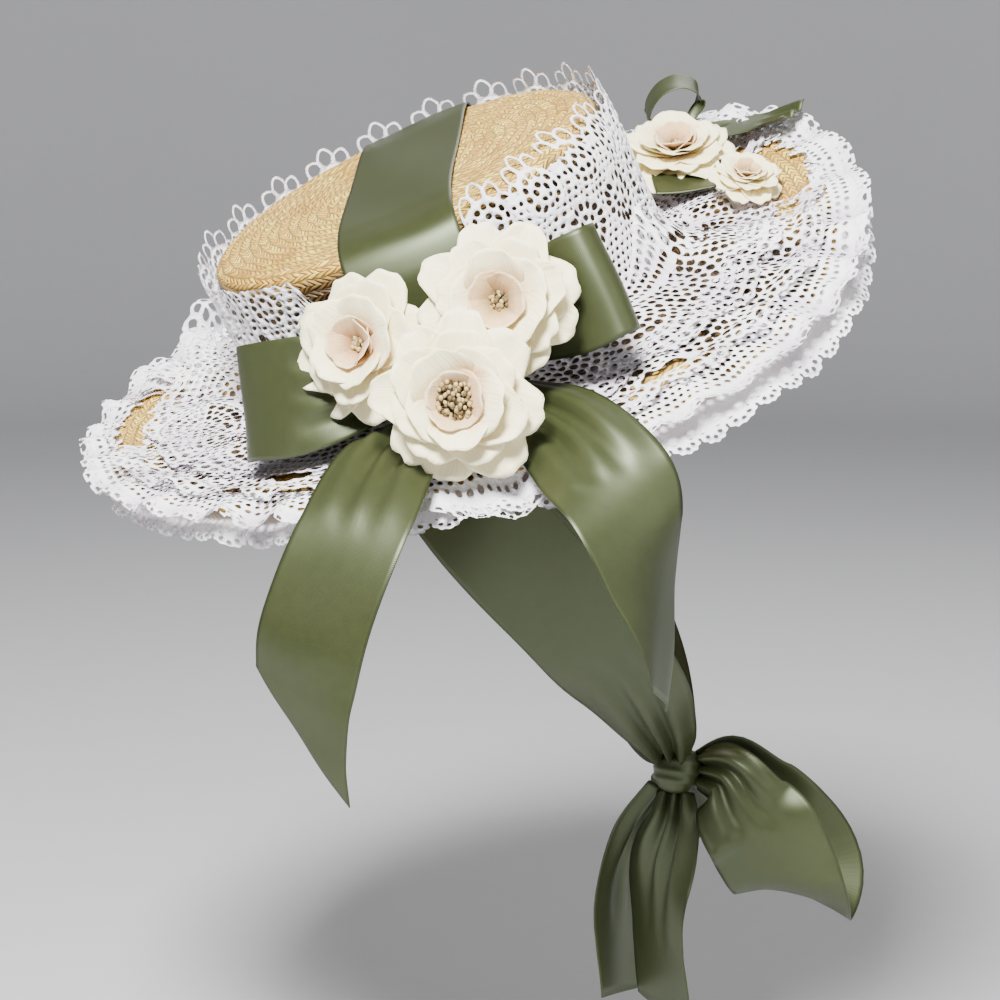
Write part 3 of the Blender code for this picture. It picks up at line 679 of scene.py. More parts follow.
def plait_relief(turn, rows):
    """Height of the plait, 0 to 1: the root of a sine across each row, times a sine's swell along it.

    Each row is higher at its outer side, where it overlaps the next.
    """
    across = rows % 1.0
    middle = np.abs(across - 0.5)
    swells = np.round(1.2 * np.floor(rows))
    broad = 0.75 + 0.25 * np.sin(2 * np.pi * turn * swells + np.floor(rows) * 2.4 + middle * 2.0)
    return np.sin(np.pi * across) ** 0.5 * broad * (0.75 + 0.25 * across)


def from_patch(angle, reach, at, half, inner, outer):
    """Distance from the middle of an oval patch of bare straw, as a share of the way to its edge."""
    across = turn_from(angle, at) / half
    along = (reach - (inner + outer) / 2) / ((outer - inner) / 2)
    return np.hypot(across, along)


def in_the_open(angle, reach):
    """1 where the brim's straw is bare or past the frills, and 0 where lace keeps the light from it."""
    shown = smoothstep(reach, 0.076, 0.080)
    for patch in BARE_PATCHES:
        shown = np.maximum(shown, 1 - smoothstep(from_patch(angle, reach, *patch), 1.2, 2.0))
    behind = np.hypot(turn_from(angle, RUFFLE_AT) / 0.30, (reach - 0.036) / 0.016)
    return np.maximum(shown, 0.7 * (1 - smoothstep(behind, 0.8, 1.4)))


def plait_uv(rows, faces):
    """Turns and rows at each corner: past the last column the turn is whole, and the row one further in."""
    columns = rows.shape[1]
    column = faces % columns
    closes = (column.max(1, keepdims=True) == columns - 1) & (column == 0)
    return np.stack([column / columns + closes, rows.ravel()[faces] - closes], -1).reshape(-1, 2)


def straw_crown(sizes, material):
    """The crown: ovals from the middle of its top down the wall, raised by a plait that winds round it.

    The row number is the distance down from the middle over the row pitch, less the share of a turn, so that
    one plait winds from the middle to the brim.
    """
    columns = STRAW_COLUMNS
    shares = np.concatenate([np.linspace(0.9995, 0.46, 72), np.linspace(0.45, 0.0, 22)])
    outline, length = crown_outline(shares)
    turn = np.arange(columns) / columns
    angle = 2 * np.pi * turn
    down = ((1 - shares) * length)[:, None]
    rows = down / sizes.row_pitch + 1.0 - turn
    lift = sizes.plait_depth * plait_relief(turn, rows)
    out = np.clip((0.075 - outline[:, 2:3]) / 0.006, 0.0, 1.0)
    x = (outline[:, :1] + lift * out) * np.cos(angle)
    y = (outline[:, 1:2] + lift * out) * np.sin(angle)
    z = outline[:, 2:3] + lift * (1 - out) - PLAIT_SUNK
    outer = np.stack([x, y, np.broadcast_to(z, x.shape)], -1)
    inner_share = np.linspace(0.0, 0.999, 14)
    inner_outline = crown_outline(inner_share)[0]
    inner_x = np.maximum(inner_outline[:, :1] - STRAW, 0.0005) * np.cos(angle)
    inner_y = np.maximum(inner_outline[:, 1:2] - STRAW, 0.0005) * np.sin(angle)
    inner_z = inner_outline[:, 2:3] - STRAW * smoothstep(inner_outline[:, 2:3], 0.0, 0.05)
    inner = np.stack([inner_x, inner_y, np.broadcast_to(inner_z, inner_x.shape)], -1)
    points = np.vstack([outer, inner])
    faces = grid_quads(len(points), columns, wrap=True)[:, ::-1]
    inner_down = (1 - inner_share)[:, None] * length
    uv = plait_uv(np.vstack([rows, inner_down / sizes.row_pitch + 1.0 - turn]), faces)
    # The bare value is 0 on the wall under the lace band, where the straw material paints shade.
    bare = np.vstack([smoothstep(z, 0.066, 0.072) * np.ones(columns), np.ones(inner_x.shape)])
    return add_piece(
        "crown_straw",
        worn(points.reshape(-1, 3)),
        faces,
        material,
        ["straw_crown"],
        corner_uv=uv,
        values={"bare": bare.ravel()},
    )


def straw_brim(sizes, material):
    """The brim: rows of the same plait from the crown to a rounded edge, above and below."""
    columns = STRAW_COLUMNS
    turn = np.arange(columns) / columns
    angle = 2 * np.pi * turn
    reach_top = np.linspace(BRIM_START, BRIM_WIDTH, 40)
    reach_under = np.linspace(BRIM_WIDTH, BRIM_START, 36)
    parts, rows, bare = [], [], []
    for side, reaches in ((1, reach_top), (-1, reach_under)):
        reach = reaches[:, None]
        rows.append(((CROWN_HALF_X + CROWN_HALF_Y) / 2 + reach) / sizes.row_pitch + 1.0 - turn)
        lift = sizes.plait_depth * plait_relief(turn, rows[-1]) - PLAIT_SUNK
        top = brim_height(angle, np.maximum(reach, 0.0))
        edge = smoothstep(reach, BRIM_WIDTH - 0.0015, BRIM_WIDTH)
        height = top - STRAW / 2 + side * (STRAW / 2 * (1 - 0.6 * edge) + lift * (1 - edge))
        parts.append(crown_point(angle, reach, height))
        # The bare value is 0 under the frills, where the straw material paints shade; the underside is never
        # shaded.
        bare.append(np.maximum(in_the_open(angle, reach), float(side < 0)))
    points = np.vstack(parts)
    ring = np.vstack([points, points[:1]])
    count = len(points)
    faces = grid_quads(len(ring), columns, wrap=True) % (count * columns)
    uv = plait_uv(np.vstack(rows), faces)
    return add_piece(
        "brim_straw",
        worn(points.reshape(-1, 3)),
        faces,
        material,
        ["straw_brim"],
        corner_uv=uv,
        values={"bare": np.vstack(bare).ravel()},
    )


# Patterns of the lace: each value is above zero on thread and below it in a hole, in metres


def holes_in_rows(x, y, first, pitch_x, pitch_y, half_x, half_y, count):
    """Rows of oval holes, every other row shifted by half a pitch: the distance from the nearest oval's edge.

    That is the length of the way from its middle in half widths, less one, times the smaller half width.
    """
    number = np.clip(np.round((y - first) / pitch_y), 0, count - 1)
    shifted = x / pitch_x + 0.5 * (number % 2)
    from_x = (shifted - np.round(shifted)) * pitch_x
    from_y = y - first - number * pitch_y
    return (np.sqrt((from_x / half_x) ** 2 + (from_y / half_y) ** 2) - 1) * min(half_x, half_y)


def ringed_holes(radius, turn, rings, bar):
    """Rings of oval holes about one centre, a bar of thread apart: rows of radius, half depth and number."""
    found = []
    for middle, half, count in rings:
        place = turn * count / (2 * math.pi)
        from_turn = (place - np.round(place)) * 2 * math.pi * middle / count
        half_turn = math.pi * middle / count - bar / 2
        oval = np.sqrt(((radius - middle) / half) ** 2 + (from_turn / half_turn) ** 2)
        found.append((oval - 1) * min(half, half_turn))
    return np.minimum.reduce(found)


def loops_on_arch(radius, turn, arch, loops, thread):
    """Pointed open loops of thread that stand on an arch: rows of turn, height and width.

    The distance from an oval's line is its value less one over its slope, and thread reaches half its width.
    The oval narrows upwards.
    """
    found = []
    for at, tall, wide in loops:
        half = tall / 2
        up = radius * np.cos(turn - at) - arch - half
        narrow = wide / 2 * np.clip(1 - 0.28 * up / half, 0.4, 1.4)
        aside = radius * np.sin(turn - at)
        oval = np.maximum(np.hypot(up / half, aside / narrow), 1e-3)
        slope = np.hypot(up / half**2, aside / narrow**2) / oval
        found.append(thread / 2 - np.abs(oval - 1) / np.maximum(slope, 1e-3))
    return np.maximum.reduce(found)


def round_loops(radius, turn, arch, size, thread, spread):
    """Small round loops side by side along an arch, out to a spread of turn on each side."""
    step = size / arch
    number = np.clip(np.round(turn / step), -round(spread / step), round(spread / step))
    from_turn = (turn / step - number) * size
    oval = np.hypot((radius - arch - size * 0.30) / (size * 0.5), from_turn / (size * 0.52))
    return thread / 2 - np.abs(oval - 1) * size * 0.5


def nearest(x, period):
    """Distance across from the nearest repeat of a pattern."""
    return (x / period - np.round(x / period)) * period


def from_centre(across, along):
    """Radius from a pattern's centre, and turn from the way along."""
    return np.hypot(across, along), np.arctan2(across, along)


def fan_lace(x, y, period, centre, rings, net_to, net_rows, loop):
    """Fans of ringed holes that end in looped scallops, over rows of net at the sewn edge."""
    radius, turn = from_centre(nearest(x, period), y - centre)
    trail = rings[-1][0] + rings[-1][1] + BAR
    fan = np.minimum(ringed_holes(radius, turn, rings, BAR), trail - radius)
    edge = np.maximum(fan, round_loops(radius, turn, trail, loop, 0.0013, 1.25))
    holes = holes_in_rows(x, y, 0.0034, 0.0041, 0.0037, 0.0015, 0.0013, net_rows)
    net = np.minimum(holes, np.abs(y - net_to) + 2e-4)
    return np.where(y < net_to, net, edge)


# Rings of holes round a centre: radius of the ring, half depth of a hole, and number of holes
FAN_WIDE = [
    (0.0032, 0.0014, 5),
    (0.0080, 0.0019, 11),
    (0.0128, 0.0018, 18),
    (0.0176, 0.0021, 21),
    (0.0226, 0.0017, 34),
    (0.0280, 0.0026, 30),
]
FAN_MIDDLE = [
    (0.0032, 0.0014, 6),
    (0.0080, 0.0019, 12),
    (0.0126, 0.0017, 20),
    (0.0172, 0.0019, 21),
]
MEDALLION = [
    (0.0026, 0.0012, 6),
    (0.0070, 0.0018, 12),
    (0.0114, 0.0016, 22),
    (0.0158, 0.0019, 22),
    (0.0192, 0.0008, 36),
]
ARCS = [
    (0.0034, 0.0015, 6),
    (0.0084, 0.0022, 12),
    (0.0136, 0.0020, 20),
    (0.0186, 0.0018, 30),
    (0.0230, 0.0016, 34),
]


# Loops on each arch of the crown's band: turn, height and width
BAND_LOOPS = [
    (math.radians(-62), 0.0044, 0.0062),
    (math.radians(-31), 0.0070, 0.0074),
    (math.radians(0), 0.0088, 0.0074),
    (math.radians(31), 0.0070, 0.0074),
    (math.radians(62), 0.0044, 0.0062),
]
# Rings of holes inside each arch, and round the centre of each fan below
BAND_ARCH_RINGS = [(0.0034, 0.0013, 5), (0.0076, 0.0013, 12)]
BAND_FAN_RINGS = [(0.0038, 0.0016, 6), (0.0090, 0.0022, 14)]


def band_lace(x, y, period):
    """The crown's band, measured down from its peaks: arches with pointed loops, then fans in rows of net."""
    centre, arch = 0.0192, 0.0102
    radius, turn = from_centre(nearest(x, period), centre - y)
    inner = ringed_holes(radius, turn, BAND_ARCH_RINGS, BAR)
    loops = loops_on_arch(radius, turn, arch, BAND_LOOPS, 0.0014)
    fan_centre, fan_reach = 0.0440, 0.0126
    fan_radius, fan_turn = from_centre(nearest(x - period / 2, period), fan_centre - y)
    net = holes_in_rows(x, y, 0.0150, 0.0039, 0.0035, 0.0012, 0.0010, 20)
    lower = np.where(fan_radius < fan_reach, ringed_holes(fan_radius, fan_turn, BAND_FAN_RINGS, BAR), net)
    body = np.where(radius < arch, inner, np.where(y > 0.0132, lower, arch + 0.0006 - radius))
    return np.maximum(body, loops)


def edging_lace(x, y, period, depth):
    """A narrow edging: rows of small holes, then scallops with a ring of holes and a looped edge."""
    centre = depth - period * 0.62
    radius, turn = from_centre(nearest(x, period), y - centre)
    trail = period * 0.47
    ring = ringed_holes(radius, turn, [(trail * 0.60, 0.0008, 8)], 0.0011)
    scallop = np.minimum(ring, np.maximum(trail - radius, centre + 0.0006 - y))
    loops = round_loops(radius, turn, trail, 0.0029, 0.0010, 1.3)
    pitch_y = 0.0037
    net = holes_in_rows(x, y, 0.0030, 0.0040, pitch_y, 0.0012, 0.0011, max(1, int(centre / pitch_y) - 1))
    return np.where(y < centre - 0.0012, net, np.maximum(scallop, loops))


def eyelet_cloth(x, y, period, depth):
    """A cloth edging with uneven round scallops, each with an arc of small round eyelets."""
    centre = depth - period * 0.50
    radius, turn = from_centre(nearest(x, period), y - centre)
    edge = period * 0.5 * (1 + 0.06 * np.cos(turn * 12))
    ring = ringed_holes(radius, turn, [(period * 0.28, 0.0011, 7)], 0.0015)
    solid = np.where(np.abs(turn) < 1.75, ring, 0.001)
    return np.minimum(solid, np.maximum(edge - radius, centre - y))


# Shapes of the lace


def wander(angle, pace, seed):
    """An uneven wave round the hat, about -1 to 1: five sines near one pace, each whole in a turn."""
    rng = np.random.default_rng(seed)
    turns = np.maximum(1, np.round(pace * rng.uniform(0.62, 1.38, 5)))
    starts = rng.uniform(0, 2 * np.pi, 5)
    return sum(np.sin(turn * angle + start) for turn, start in zip(turns, starts)) / 2.4


def crests(wave):
    """A wave of -1 to 1 as 0 in its troughs and 1 on its crests."""
    return 0.5 + 0.5 * np.clip(wave, -1, 1)


def hump(angle, at, half):
    """1 at an azimuth, falling off over a half width on each side as the bell of a Gauss curve does."""
    return np.exp(-((turn_from(angle, at) / half) ** 2))


def press(angle):
    """1 where a frill is free to stand, and near 0 where a bow lies on it."""
    near_bow = np.maximum(0.0, np.cos(angle - BOW_AT))
    near_back_bow = np.maximum(0.0, np.cos(angle - BACK_BOW_AT))
    return 1 - 0.88 * np.minimum(1.0, 1.7 * near_bow**2 + 1.5 * near_back_bow**8)


# Where the inner frill stands up as a ruffle
RUFFLE_AT = math.radians(152)
# Where straw shows between the frills: azimuth, half width of azimuth, inner reach and outer reach
BARE_PATCHES = [
    (math.radians(178), math.radians(16.5), 0.0600, 0.0768),
    (math.radians(11), math.radians(13.5), 0.0430, 0.0785),
    (math.radians(-57), math.radians(4.6), 0.0590, 0.0670),
    (math.radians(-121), math.radians(4.5), 0.0500, 0.0590),
]
# Where the inner frill draws back: azimuth, half width and share of its depth
DRAWN_BACK = [
    (math.radians(178), 0.28, 0.05),
    (math.radians(11), 0.24, 0.24),
    (math.radians(-58), 0.12, 0.05),
    (math.radians(-121), 0.12, 0.13),
]
# Round motifs set into the inner frill: azimuth, reach of the centre, radius and rings
MOTIFS = [
    (math.radians(-168), 0.0345, 0.0202, MEDALLION),
    (math.radians(-14), 0.0285, 0.0248, ARCS),
]


def with_motifs(thread, angle, reach):
    """A frill's pattern with the round motifs set in, each inside a cord."""
    for at, out, size, rings in MOTIFS:
        radius, turn = from_centre(turn_from(angle, at) * (CROWN_HALF_X + reach), reach - out)
        motif = ringed_holes(radius, turn, rings, 0.0009)
        thread = np.where(radius < size + 0.0016, np.where(radius < size, motif, 0.0009), thread)
    return thread


def bared(thread, angle, reach):
    """A frill's pattern cut back to a cord round each patch of bare straw."""
    ragged = 1 + 0.16 * wander(angle, 70, 5) + 0.10 * wander(angle, 150, 6)
    for at, half, inner, outer in BARE_PATCHES:
        border = (from_patch(angle, reach, at, half, inner, outer) - ragged) * (outer - inner) / 2
        thread = np.where(border < 0.0014, np.minimum(0.0008, border), thread)
    return thread


def lace_piece(name, points, thread, crest, material, node, flip=False):
    """A lace surface from a grid of points round the hat: holes are cut out, and thread is raised as a cord.

    The thread rises with the square root of its value, up to half the thickness.
    """
    rows, columns = thread.shape
    normals = ring_normals(points) * (-1 if flip else 1)
    relief = np.sqrt(np.clip(thread / BAR, 0.0, 1.0))
    raised = points + normals * (relief * LACE_THICK * 0.5)[..., None]
    faces = as_triangles(grid_quads(rows, columns, wrap=True))
    if flip:
        faces = faces[:, ::-1]
    # The crest value, 0 in a fold's trough, and the relief at a hole's edge set the lace material's painted
    # shade.
    values = {"relief": relief.ravel(), "crest": np.broadcast_to(crest, thread.shape).ravel()}
    points, faces, values = cut_lace(worn(raised.reshape(-1, 3)), thread.ravel(), faces, values)
    obj = add_piece(name, points, faces, material, [node], values=values)


def uneven(thread, angle, y, seed):
    """Hand-made lace: holes that are larger in one place and close up in another."""
    broad = wander(angle, 30, seed) * np.cos(150 * y + 3 * wander(angle, 7, seed + 1))
    fine = wander(angle, 210, seed + 2) * np.cos(900 * y + 3 * wander(angle, 60, seed + 3))
    return thread + 0.00012 + 0.00024 * broad + 0.00020 * fine


def drawn(angle, y, mean, seed):
    """Pattern coordinates of a frill, pulled about a little as gathered lace is."""
    x = angle / (2 * np.pi) * mean + 0.0011 * wander(angle, 26, seed) * np.cos(170 * y)
    return x, y + 0.0009 * wander(angle, 34, seed + 1) * np.sin(210 * y + 2 * wander(angle, 9, seed + 2))


def edge_lift(angle, reach):
    """Height of the outer frill over the brim: a small rise, and then a wave that grows towards its edge."""
    swing = smoothstep(reach, 0.068, 0.094)
    return 0.0014 + 0.0010 * smoothstep(reach, 0.066, 0.072) + swing * 0.0034 * wander(angle, 40, 3)


def middle_lift(angle, reach):
    """Height of the middle frill over the brim: it lies on the outer one, in broad folds."""
    lying = smoothstep(reach, 0.062, 0.070) * (np.maximum(edge_lift(angle, reach), 0.0012) + 0.0011)
    fold = crests(wander(angle, 23, 11))
    rise = smoothstep(reach, 0.036, 0.060) * (0.0042 * fold * (0.25 + 0.75 * press(angle)) + 0.0008)
    return 0.0016 + lying + rise


def inner_frill(sizes, material):
    """The inner frill: tight pleats at the crown's foot that open into deep uneven folds and scallops.

    The height over the brim is the middle frill's, plus the folds. At the left a stretch of the edge stands
    up, and at the right the pleats climb the crown's wall.
    """
    depth, fans, mean = 0.0575, 21, 2 * np.pi * 0.134
    angle = azimuths(1180)
    y = np.linspace(0.0, depth, 68)[:, None]
    share = y / depth
    free = press(angle)
    stand = hump(angle, RUFFLE_AT, 0.13) + 0.25 * hump(angle, math.radians(72), 0.10)
    climb = hump(angle, math.radians(-20), 0.22)
    back = sum(part * hump(angle, at, half) for at, half, part in DRAWN_BACK)
    reach = 0.0044 + y * (1 + 0.05 * wander(angle, 12, 21) - back)
    reach = reach - stand * 0.022 * smoothstep(share, 0.45, 0.95)
    fold = crests(wander(angle, 16, 22) * 1.15)
    flat_motif = sum(hump(angle, at, size / 0.13) for at, _, size, _ in MOTIFS)
    calm = 1 - 0.6 * np.minimum(flat_motif, 1.0)
    rise = smoothstep(y, 0.0, 0.026) * (0.0130 - 0.0045 * smoothstep(y, 0.03, depth)) * sizes.frill_height
    flutter = 0.0017 * wander(angle, 52, 23) * smoothstep(y, 0.030, depth)
    pleats = 0.0009 * wander(angle, 130, 24) * (1 - smoothstep(y, 0.010, 0.034)) * (0.3 + 0.7 * free)
    over = np.maximum(middle_lift(angle, np.minimum(reach, 0.078)), 0.0019)
    height = brim_height(angle, np.minimum(reach, BRIM_WIDTH)) + over + 0.0016 + pleats
    height = height + free * calm * (rise * fold + flutter)
    height = height + stand * 0.034 * smoothstep(share, 0.36, 0.98)
    height = height + climb * 0.026 * (1 - smoothstep(y, 0.0, 0.024)) ** 2
    sway = free * 0.020 * smoothstep(y, 0.01, 0.04) * wander(angle, 16, 25)
    points = crown_point(angle + sway, reach, height)
    x, along = drawn(angle, y, mean, 26)
    thread = fan_lace(x, along, mean / fans, 0.0200, FAN_WIDE, 0.0150, 3, 0.0056)
    thread = with_motifs(uneven(thread, angle, y, 27), angle, reach)
    thread[-1] = NO_THREAD
    lace_piece("inner_frill", points, thread, fold * free, material, "brim_lace")


def middle_frill(material):
    """The middle frill: small fans that lie on the outer frill and pass under the inner one.

    At the near side it dips under the bow's right tail.
    """
    depth, fans, mean = 0.0425, 27, 2 * np.pi * 0.154
    angle = azimuths(1250)
    y = np.linspace(0.0, depth, 50)[:, None]
    reach = 0.0365 + y * (1 + 0.035 * wander(angle, 14, 31))
    height = brim_height(angle, np.minimum(reach, BRIM_WIDTH)) + middle_lift(angle, reach)
    height = height + 0.0010 * wander(angle, 60, 32) * smoothstep(y, 0.02, depth)
    height = height - 0.0018 * hump(angle, math.radians(-79), 0.07) * smoothstep(y, 0.026, 0.038)
    points = crown_point(angle, reach, height)
    x, along = drawn(angle, y, mean, 33)
    thread = fan_lace(x, along, mean / fans, 0.0190, FAN_MIDDLE, 0.0160, 4, 0.0042)
    thread = bared(uneven(thread, angle, y, 34), angle, reach)
    thread[-1] = NO_THREAD
    crest, flat, cloth = crests(wander(angle, 23, 11)), (depth, 1.08), 0.62
    lace_piece("middle_frill", points, thread, crest, material, "brim_lace")


def edge_frill(sizes, material):
    """The outer frill: small gathers that pass the straw's edge, and hang over it at the near side.

    Its height is the brim's plus its lift, less a drop that a hump holds to the near side.
    """
    depth, scallops, mean = 0.0280, 150, 2 * np.pi * 0.177
    angle = azimuths(1450)
    y = np.linspace(0.0, depth, 36)[:, None]
    reach = 0.0660 + y * (0.97 + 0.04 * wander(angle, 24, 41) + 0.17 * hump(angle, math.radians(2), 0.6))
    over = np.minimum(reach, BRIM_WIDTH + 0.008)
    height = brim_height(angle, over) + edge_lift(angle, reach) * sizes.frill_height
    height = height - 0.0150 * hump(angle, math.radians(-86), 0.17) * smoothstep(y, 0.010, depth)
    points = crown_point(angle + 0.010 * smoothstep(y, 0.0, depth) * wander(angle, 40, 42), reach, height)
    x, along = drawn(angle, y, mean, 43)
    thread = edging_lace(x, along, mean / scallops, depth - 0.0010)
    thread = bared(uneven(thread, angle, y, 44), angle, reach)
    thread[-1] = NO_THREAD
    crest, flat, cloth = crests(wander(angle, 40, 3)), (depth, 1.25), 0.78
    lace_piece("edge_frill", points, thread, crest, material, "edge_lace")


def under_frill(material):
    """The eyelet edging that is sewn under the brim and hangs past it in soft waves.

    It goes out as a quarter of a sine and falls with a power of the depth.
    """
    depth, scallops, mean = 0.0230, 80, 2 * np.pi * 0.172
    angle = azimuths(1300)
    y = np.linspace(0.0, depth, 29)[:, None]
    wave = np.clip(wander(angle, 21, 51), -1.2, 1.2)
    right = hump(angle, math.radians(-35), 0.7)
    reach = 0.0700 + (0.0195 + 0.0045 * right) * np.sin(np.pi / 2 * y / depth) + 0.0016 * wave * y / depth
    fall = -0.0034 - (0.0104 + 0.0030 * right) * (y / depth) ** 1.3 + 0.0026 * wave * (y / depth)
    height = brim_height(angle, np.minimum(reach, BRIM_WIDTH + 0.004)) + fall
    points = crown_point(angle, reach, height)
    x, along = drawn(angle, y, mean, 52)
    thread = eyelet_cloth(x, along, mean / scallops, depth - 0.0012)
    thread[-1] = NO_THREAD
    crest, flat, cloth = 0.5 + 0.4 * wave, (depth, 1.15), 0.92
    lace_piece("under_frill", points, thread, crest, material, "under_lace")


def lace_top(angle):
    """Height of the band's peaks: above the straw, and just below its edge at the near left."""
    dip = smoothstep(np.cos(angle - SCALLOP_DIP_AT), 0.42, 0.80)
    return CROWN_HEIGHT + LACE_RISE - 0.0084 * dip - 0.0150 * smoothstep(np.cos(angle - BOW_AT), 0.90, 0.955)


def crown_band(sizes, material):
    """The band round the crown: measured down from its peaks to the brim, with small pleats lower down.

    At the near right its top leans in over the straw, and at the near left its scallops are folded in.
    """
    angle = azimuths(860)
    top, clear = lace_top(angle), 0.0026
    y = np.linspace(0.0, 1.0, 98)[:, None] * (top - clear)
    over = hump(angle, math.radians(-40), 0.50)
    upper = smoothstep(top - y, 0.054, 0.088)
    height = top - y - 0.0035 * over * smoothstep(top - y, 0.074, 0.088)
    mean = 2 * np.pi * 0.0945
    near = 0.35 + 0.65 * hump(angle, math.radians(-155), 0.9)
    gathers = wander(angle, 70, 61) * np.cos(12 * y + 2 * wander(angle, 9, 62))
    pleats = sizes.band_pleat * 1.5 * near * gathers * (1 - 0.8 * upper)
    broad = 0.0009 * wander(angle, 17, 63) * np.cos(40 * y)
    foot = 0.0016 * smoothstep(0.012 - height, 0.0, 0.012)
    reach = CROWN_LACE_OFF + (0.0008 - 0.0220 * over) * upper**1.3 + 0.0007 + pleats + broad + foot
    points = crown_point(angle, reach, height)
    x, along = drawn(angle, y, mean, 64)
    folded = 0.0100 * smoothstep(np.cos(angle - SCALLOP_DIP_AT), 0.42, 0.80)
    keep = smoothstep(y, 0.016, 0.026)
    x = angle / (2 * np.pi) * mean * (1 - keep) + x * keep
    along = y * (1 - keep) + along * keep + folded
    thread = band_lace(x, along, mean / SCALLOPS)
    thread = np.where(y < 0.018, thread, uneven(thread, angle, y, 65))
    node, crest = "crown_lace", crests(gathers)
    lace_piece("crown_band", points, thread, crest, material, node, flip=True)


# Satin


def smooth_path(stations, steps):
    """Rows of (centre, across, width) on a Catmull-Rom curve through the stations."""
    values = np.array(stations, float)
    padded = np.vstack([2 * values[0] - values[1], values, 2 * values[-1] - values[-2]])
    t = (np.arange(steps) / steps)[:, None]
    found = []
    for a, b, c, d in zip(padded, padded[1:], padded[2:], padded[3:]):
        found.append(
            0.5 * (2 * b + (c - a) * t + (2 * a - 5 * b + 4 * c - d) * t**2 + (3 * b - a - 3 * c + d) * t**3)
        )
    return np.vstack([*found, values[-1:]])


# Which of a ribbon's stations meet its knot
FIRST_END = (0,)
LAST_END = (-1,)
BOTH_ENDS = (0, -1)


def ribbon_rows(stations, knot, ends, steps):
    """A ribbon's smooth centre, direction across, normal, width and length so far; its ends meet the knot."""
    stations = np.array(stations, float)
    knot_centre, knot_radius = np.array(knot[0], float), knot[1]
    for end in ends:
        out = unit(stations[end, :3] - knot_centre)
        stations[end, :3] = knot_centre + out * knot_radius * 0.85
    rows = smooth_path(stations, steps)
    centre, across, width = rows[:, :3], rows[:, 3:6], rows[:, 6]
    along = unit(np.gradient(centre, axis=0))
    across = unit(across - along * (across * along).sum(1, keepdims=True))
    normal = np.cross(along, across)
    return centre, across, normal, width, length_so_far(centre)


def ribbon(
    name, stations, material, node, knot, ends=FIRST_END, slant=0.0, local=False, pleats=3
):
    """A satin ribbon on a grid.

    Each point is the centre, plus its share of the width across, plus a height along the normal. Where the
    ribbon is narrower than it was cut, the height is a wave of a few pleats whose arc keeps the cut width.
    Slant shortens the edge against the across side, as a cut end does. Local stations are in the hat's own
    frame, and the others in the world.
    """
    columns, steps = 23, 8
    centre, across, normal, width, length = ribbon_rows(stations, knot, ends, steps)
    total = length[-1]
    share = np.linspace(-1, 1, columns)
    shorten = 1 - slant / total * (1 - share) / 2
    place = length[:, None] * shorten
    full = max(row[6] for row in stations)

    def at(values):
        """Values of the stations at each point's place along the ribbon."""
        values = values if values.ndim == 2 else values[:, None]
        return np.stack([np.interp(place, length, values[:, i]) for i in range(values.shape[1])], -1)

    wide = at(width)[..., 0]
    spare = np.sqrt(np.maximum(full / wide - 1, 0.0))
    depth = np.minimum(wide / (math.pi * pleats) * spare, 0.0055)
    ripple = depth * np.cos(math.pi * pleats * (share + 0.12 * np.sin(3 * share)))
    calm = 0.0006 * np.sin(place * 95 + 2.2 * share) * smoothstep(place, 0.01, 0.05)
    height = ripple + calm
    points = at(centre) + at(across) * (share * wide / 2)[..., None] + at(normal) * height[..., None]
    if local:
        points = worn(points)
    faces = grid_quads(len(length), columns)
    uv = corner_places(share * full / 2, place, faces)
    obj = add_piece(name, points.reshape(-1, 3), faces, material, [node], corner_uv=uv)
    thicken(obj, SATIN_THICK)


def knot_wrap(name, centre, radius, axis, material, node, local):
    """The wrapped middle of a bow: a barrel along its axis, drawn in at its ends, with creases round it.

    Its girth is the root of one less a power of the way along, times one less a power of a sine for creases.
    """
    rows, columns = 25, 40
    along, turn = np.linspace(-1, 1, rows), azimuths(columns)
    girth = radius * 0.98 * np.sqrt(np.maximum(1 - np.abs(along) ** 2.6, 0.0))[:, None]
    crease = 1 - 0.075 * np.abs(np.sin(along[:, None] * 7.5 + 0.7 * np.sin(turn + 0.6))) ** 0.7
    girth = np.maximum(girth * crease, 1e-5)
    axis = unit(np.array(axis, float))
    side = unit(np.cross(axis, [0.21, 0.35, 0.91]))
    up = np.cross(side, axis)
    points = (
        np.array(centre, float)
        + along[:, None, None] * axis * radius * 0.98
        + girth[..., None] * (np.cos(turn)[:, None] * side + np.sin(turn)[:, None] * up)
    )
    points = worn(points) if local else points
    faces = grid_quads(rows, columns, wrap=True)
    uv = corner_places(along[:, None] * radius, turn * radius, faces)
    add_piece(name, points.reshape(-1, 3), faces, material, [node], corner_uv=uv)


# The crown ribbon's soft bend on its way to the bow: how far out from the crown's foot, and height
RIBBON_BEND = [
    (0.0120, 0.0300),
    (0.0110, 0.0450),
    (0.0075, 0.0590),
    (0.0015, 0.0690),
    (-0.0035, 0.0738),
]


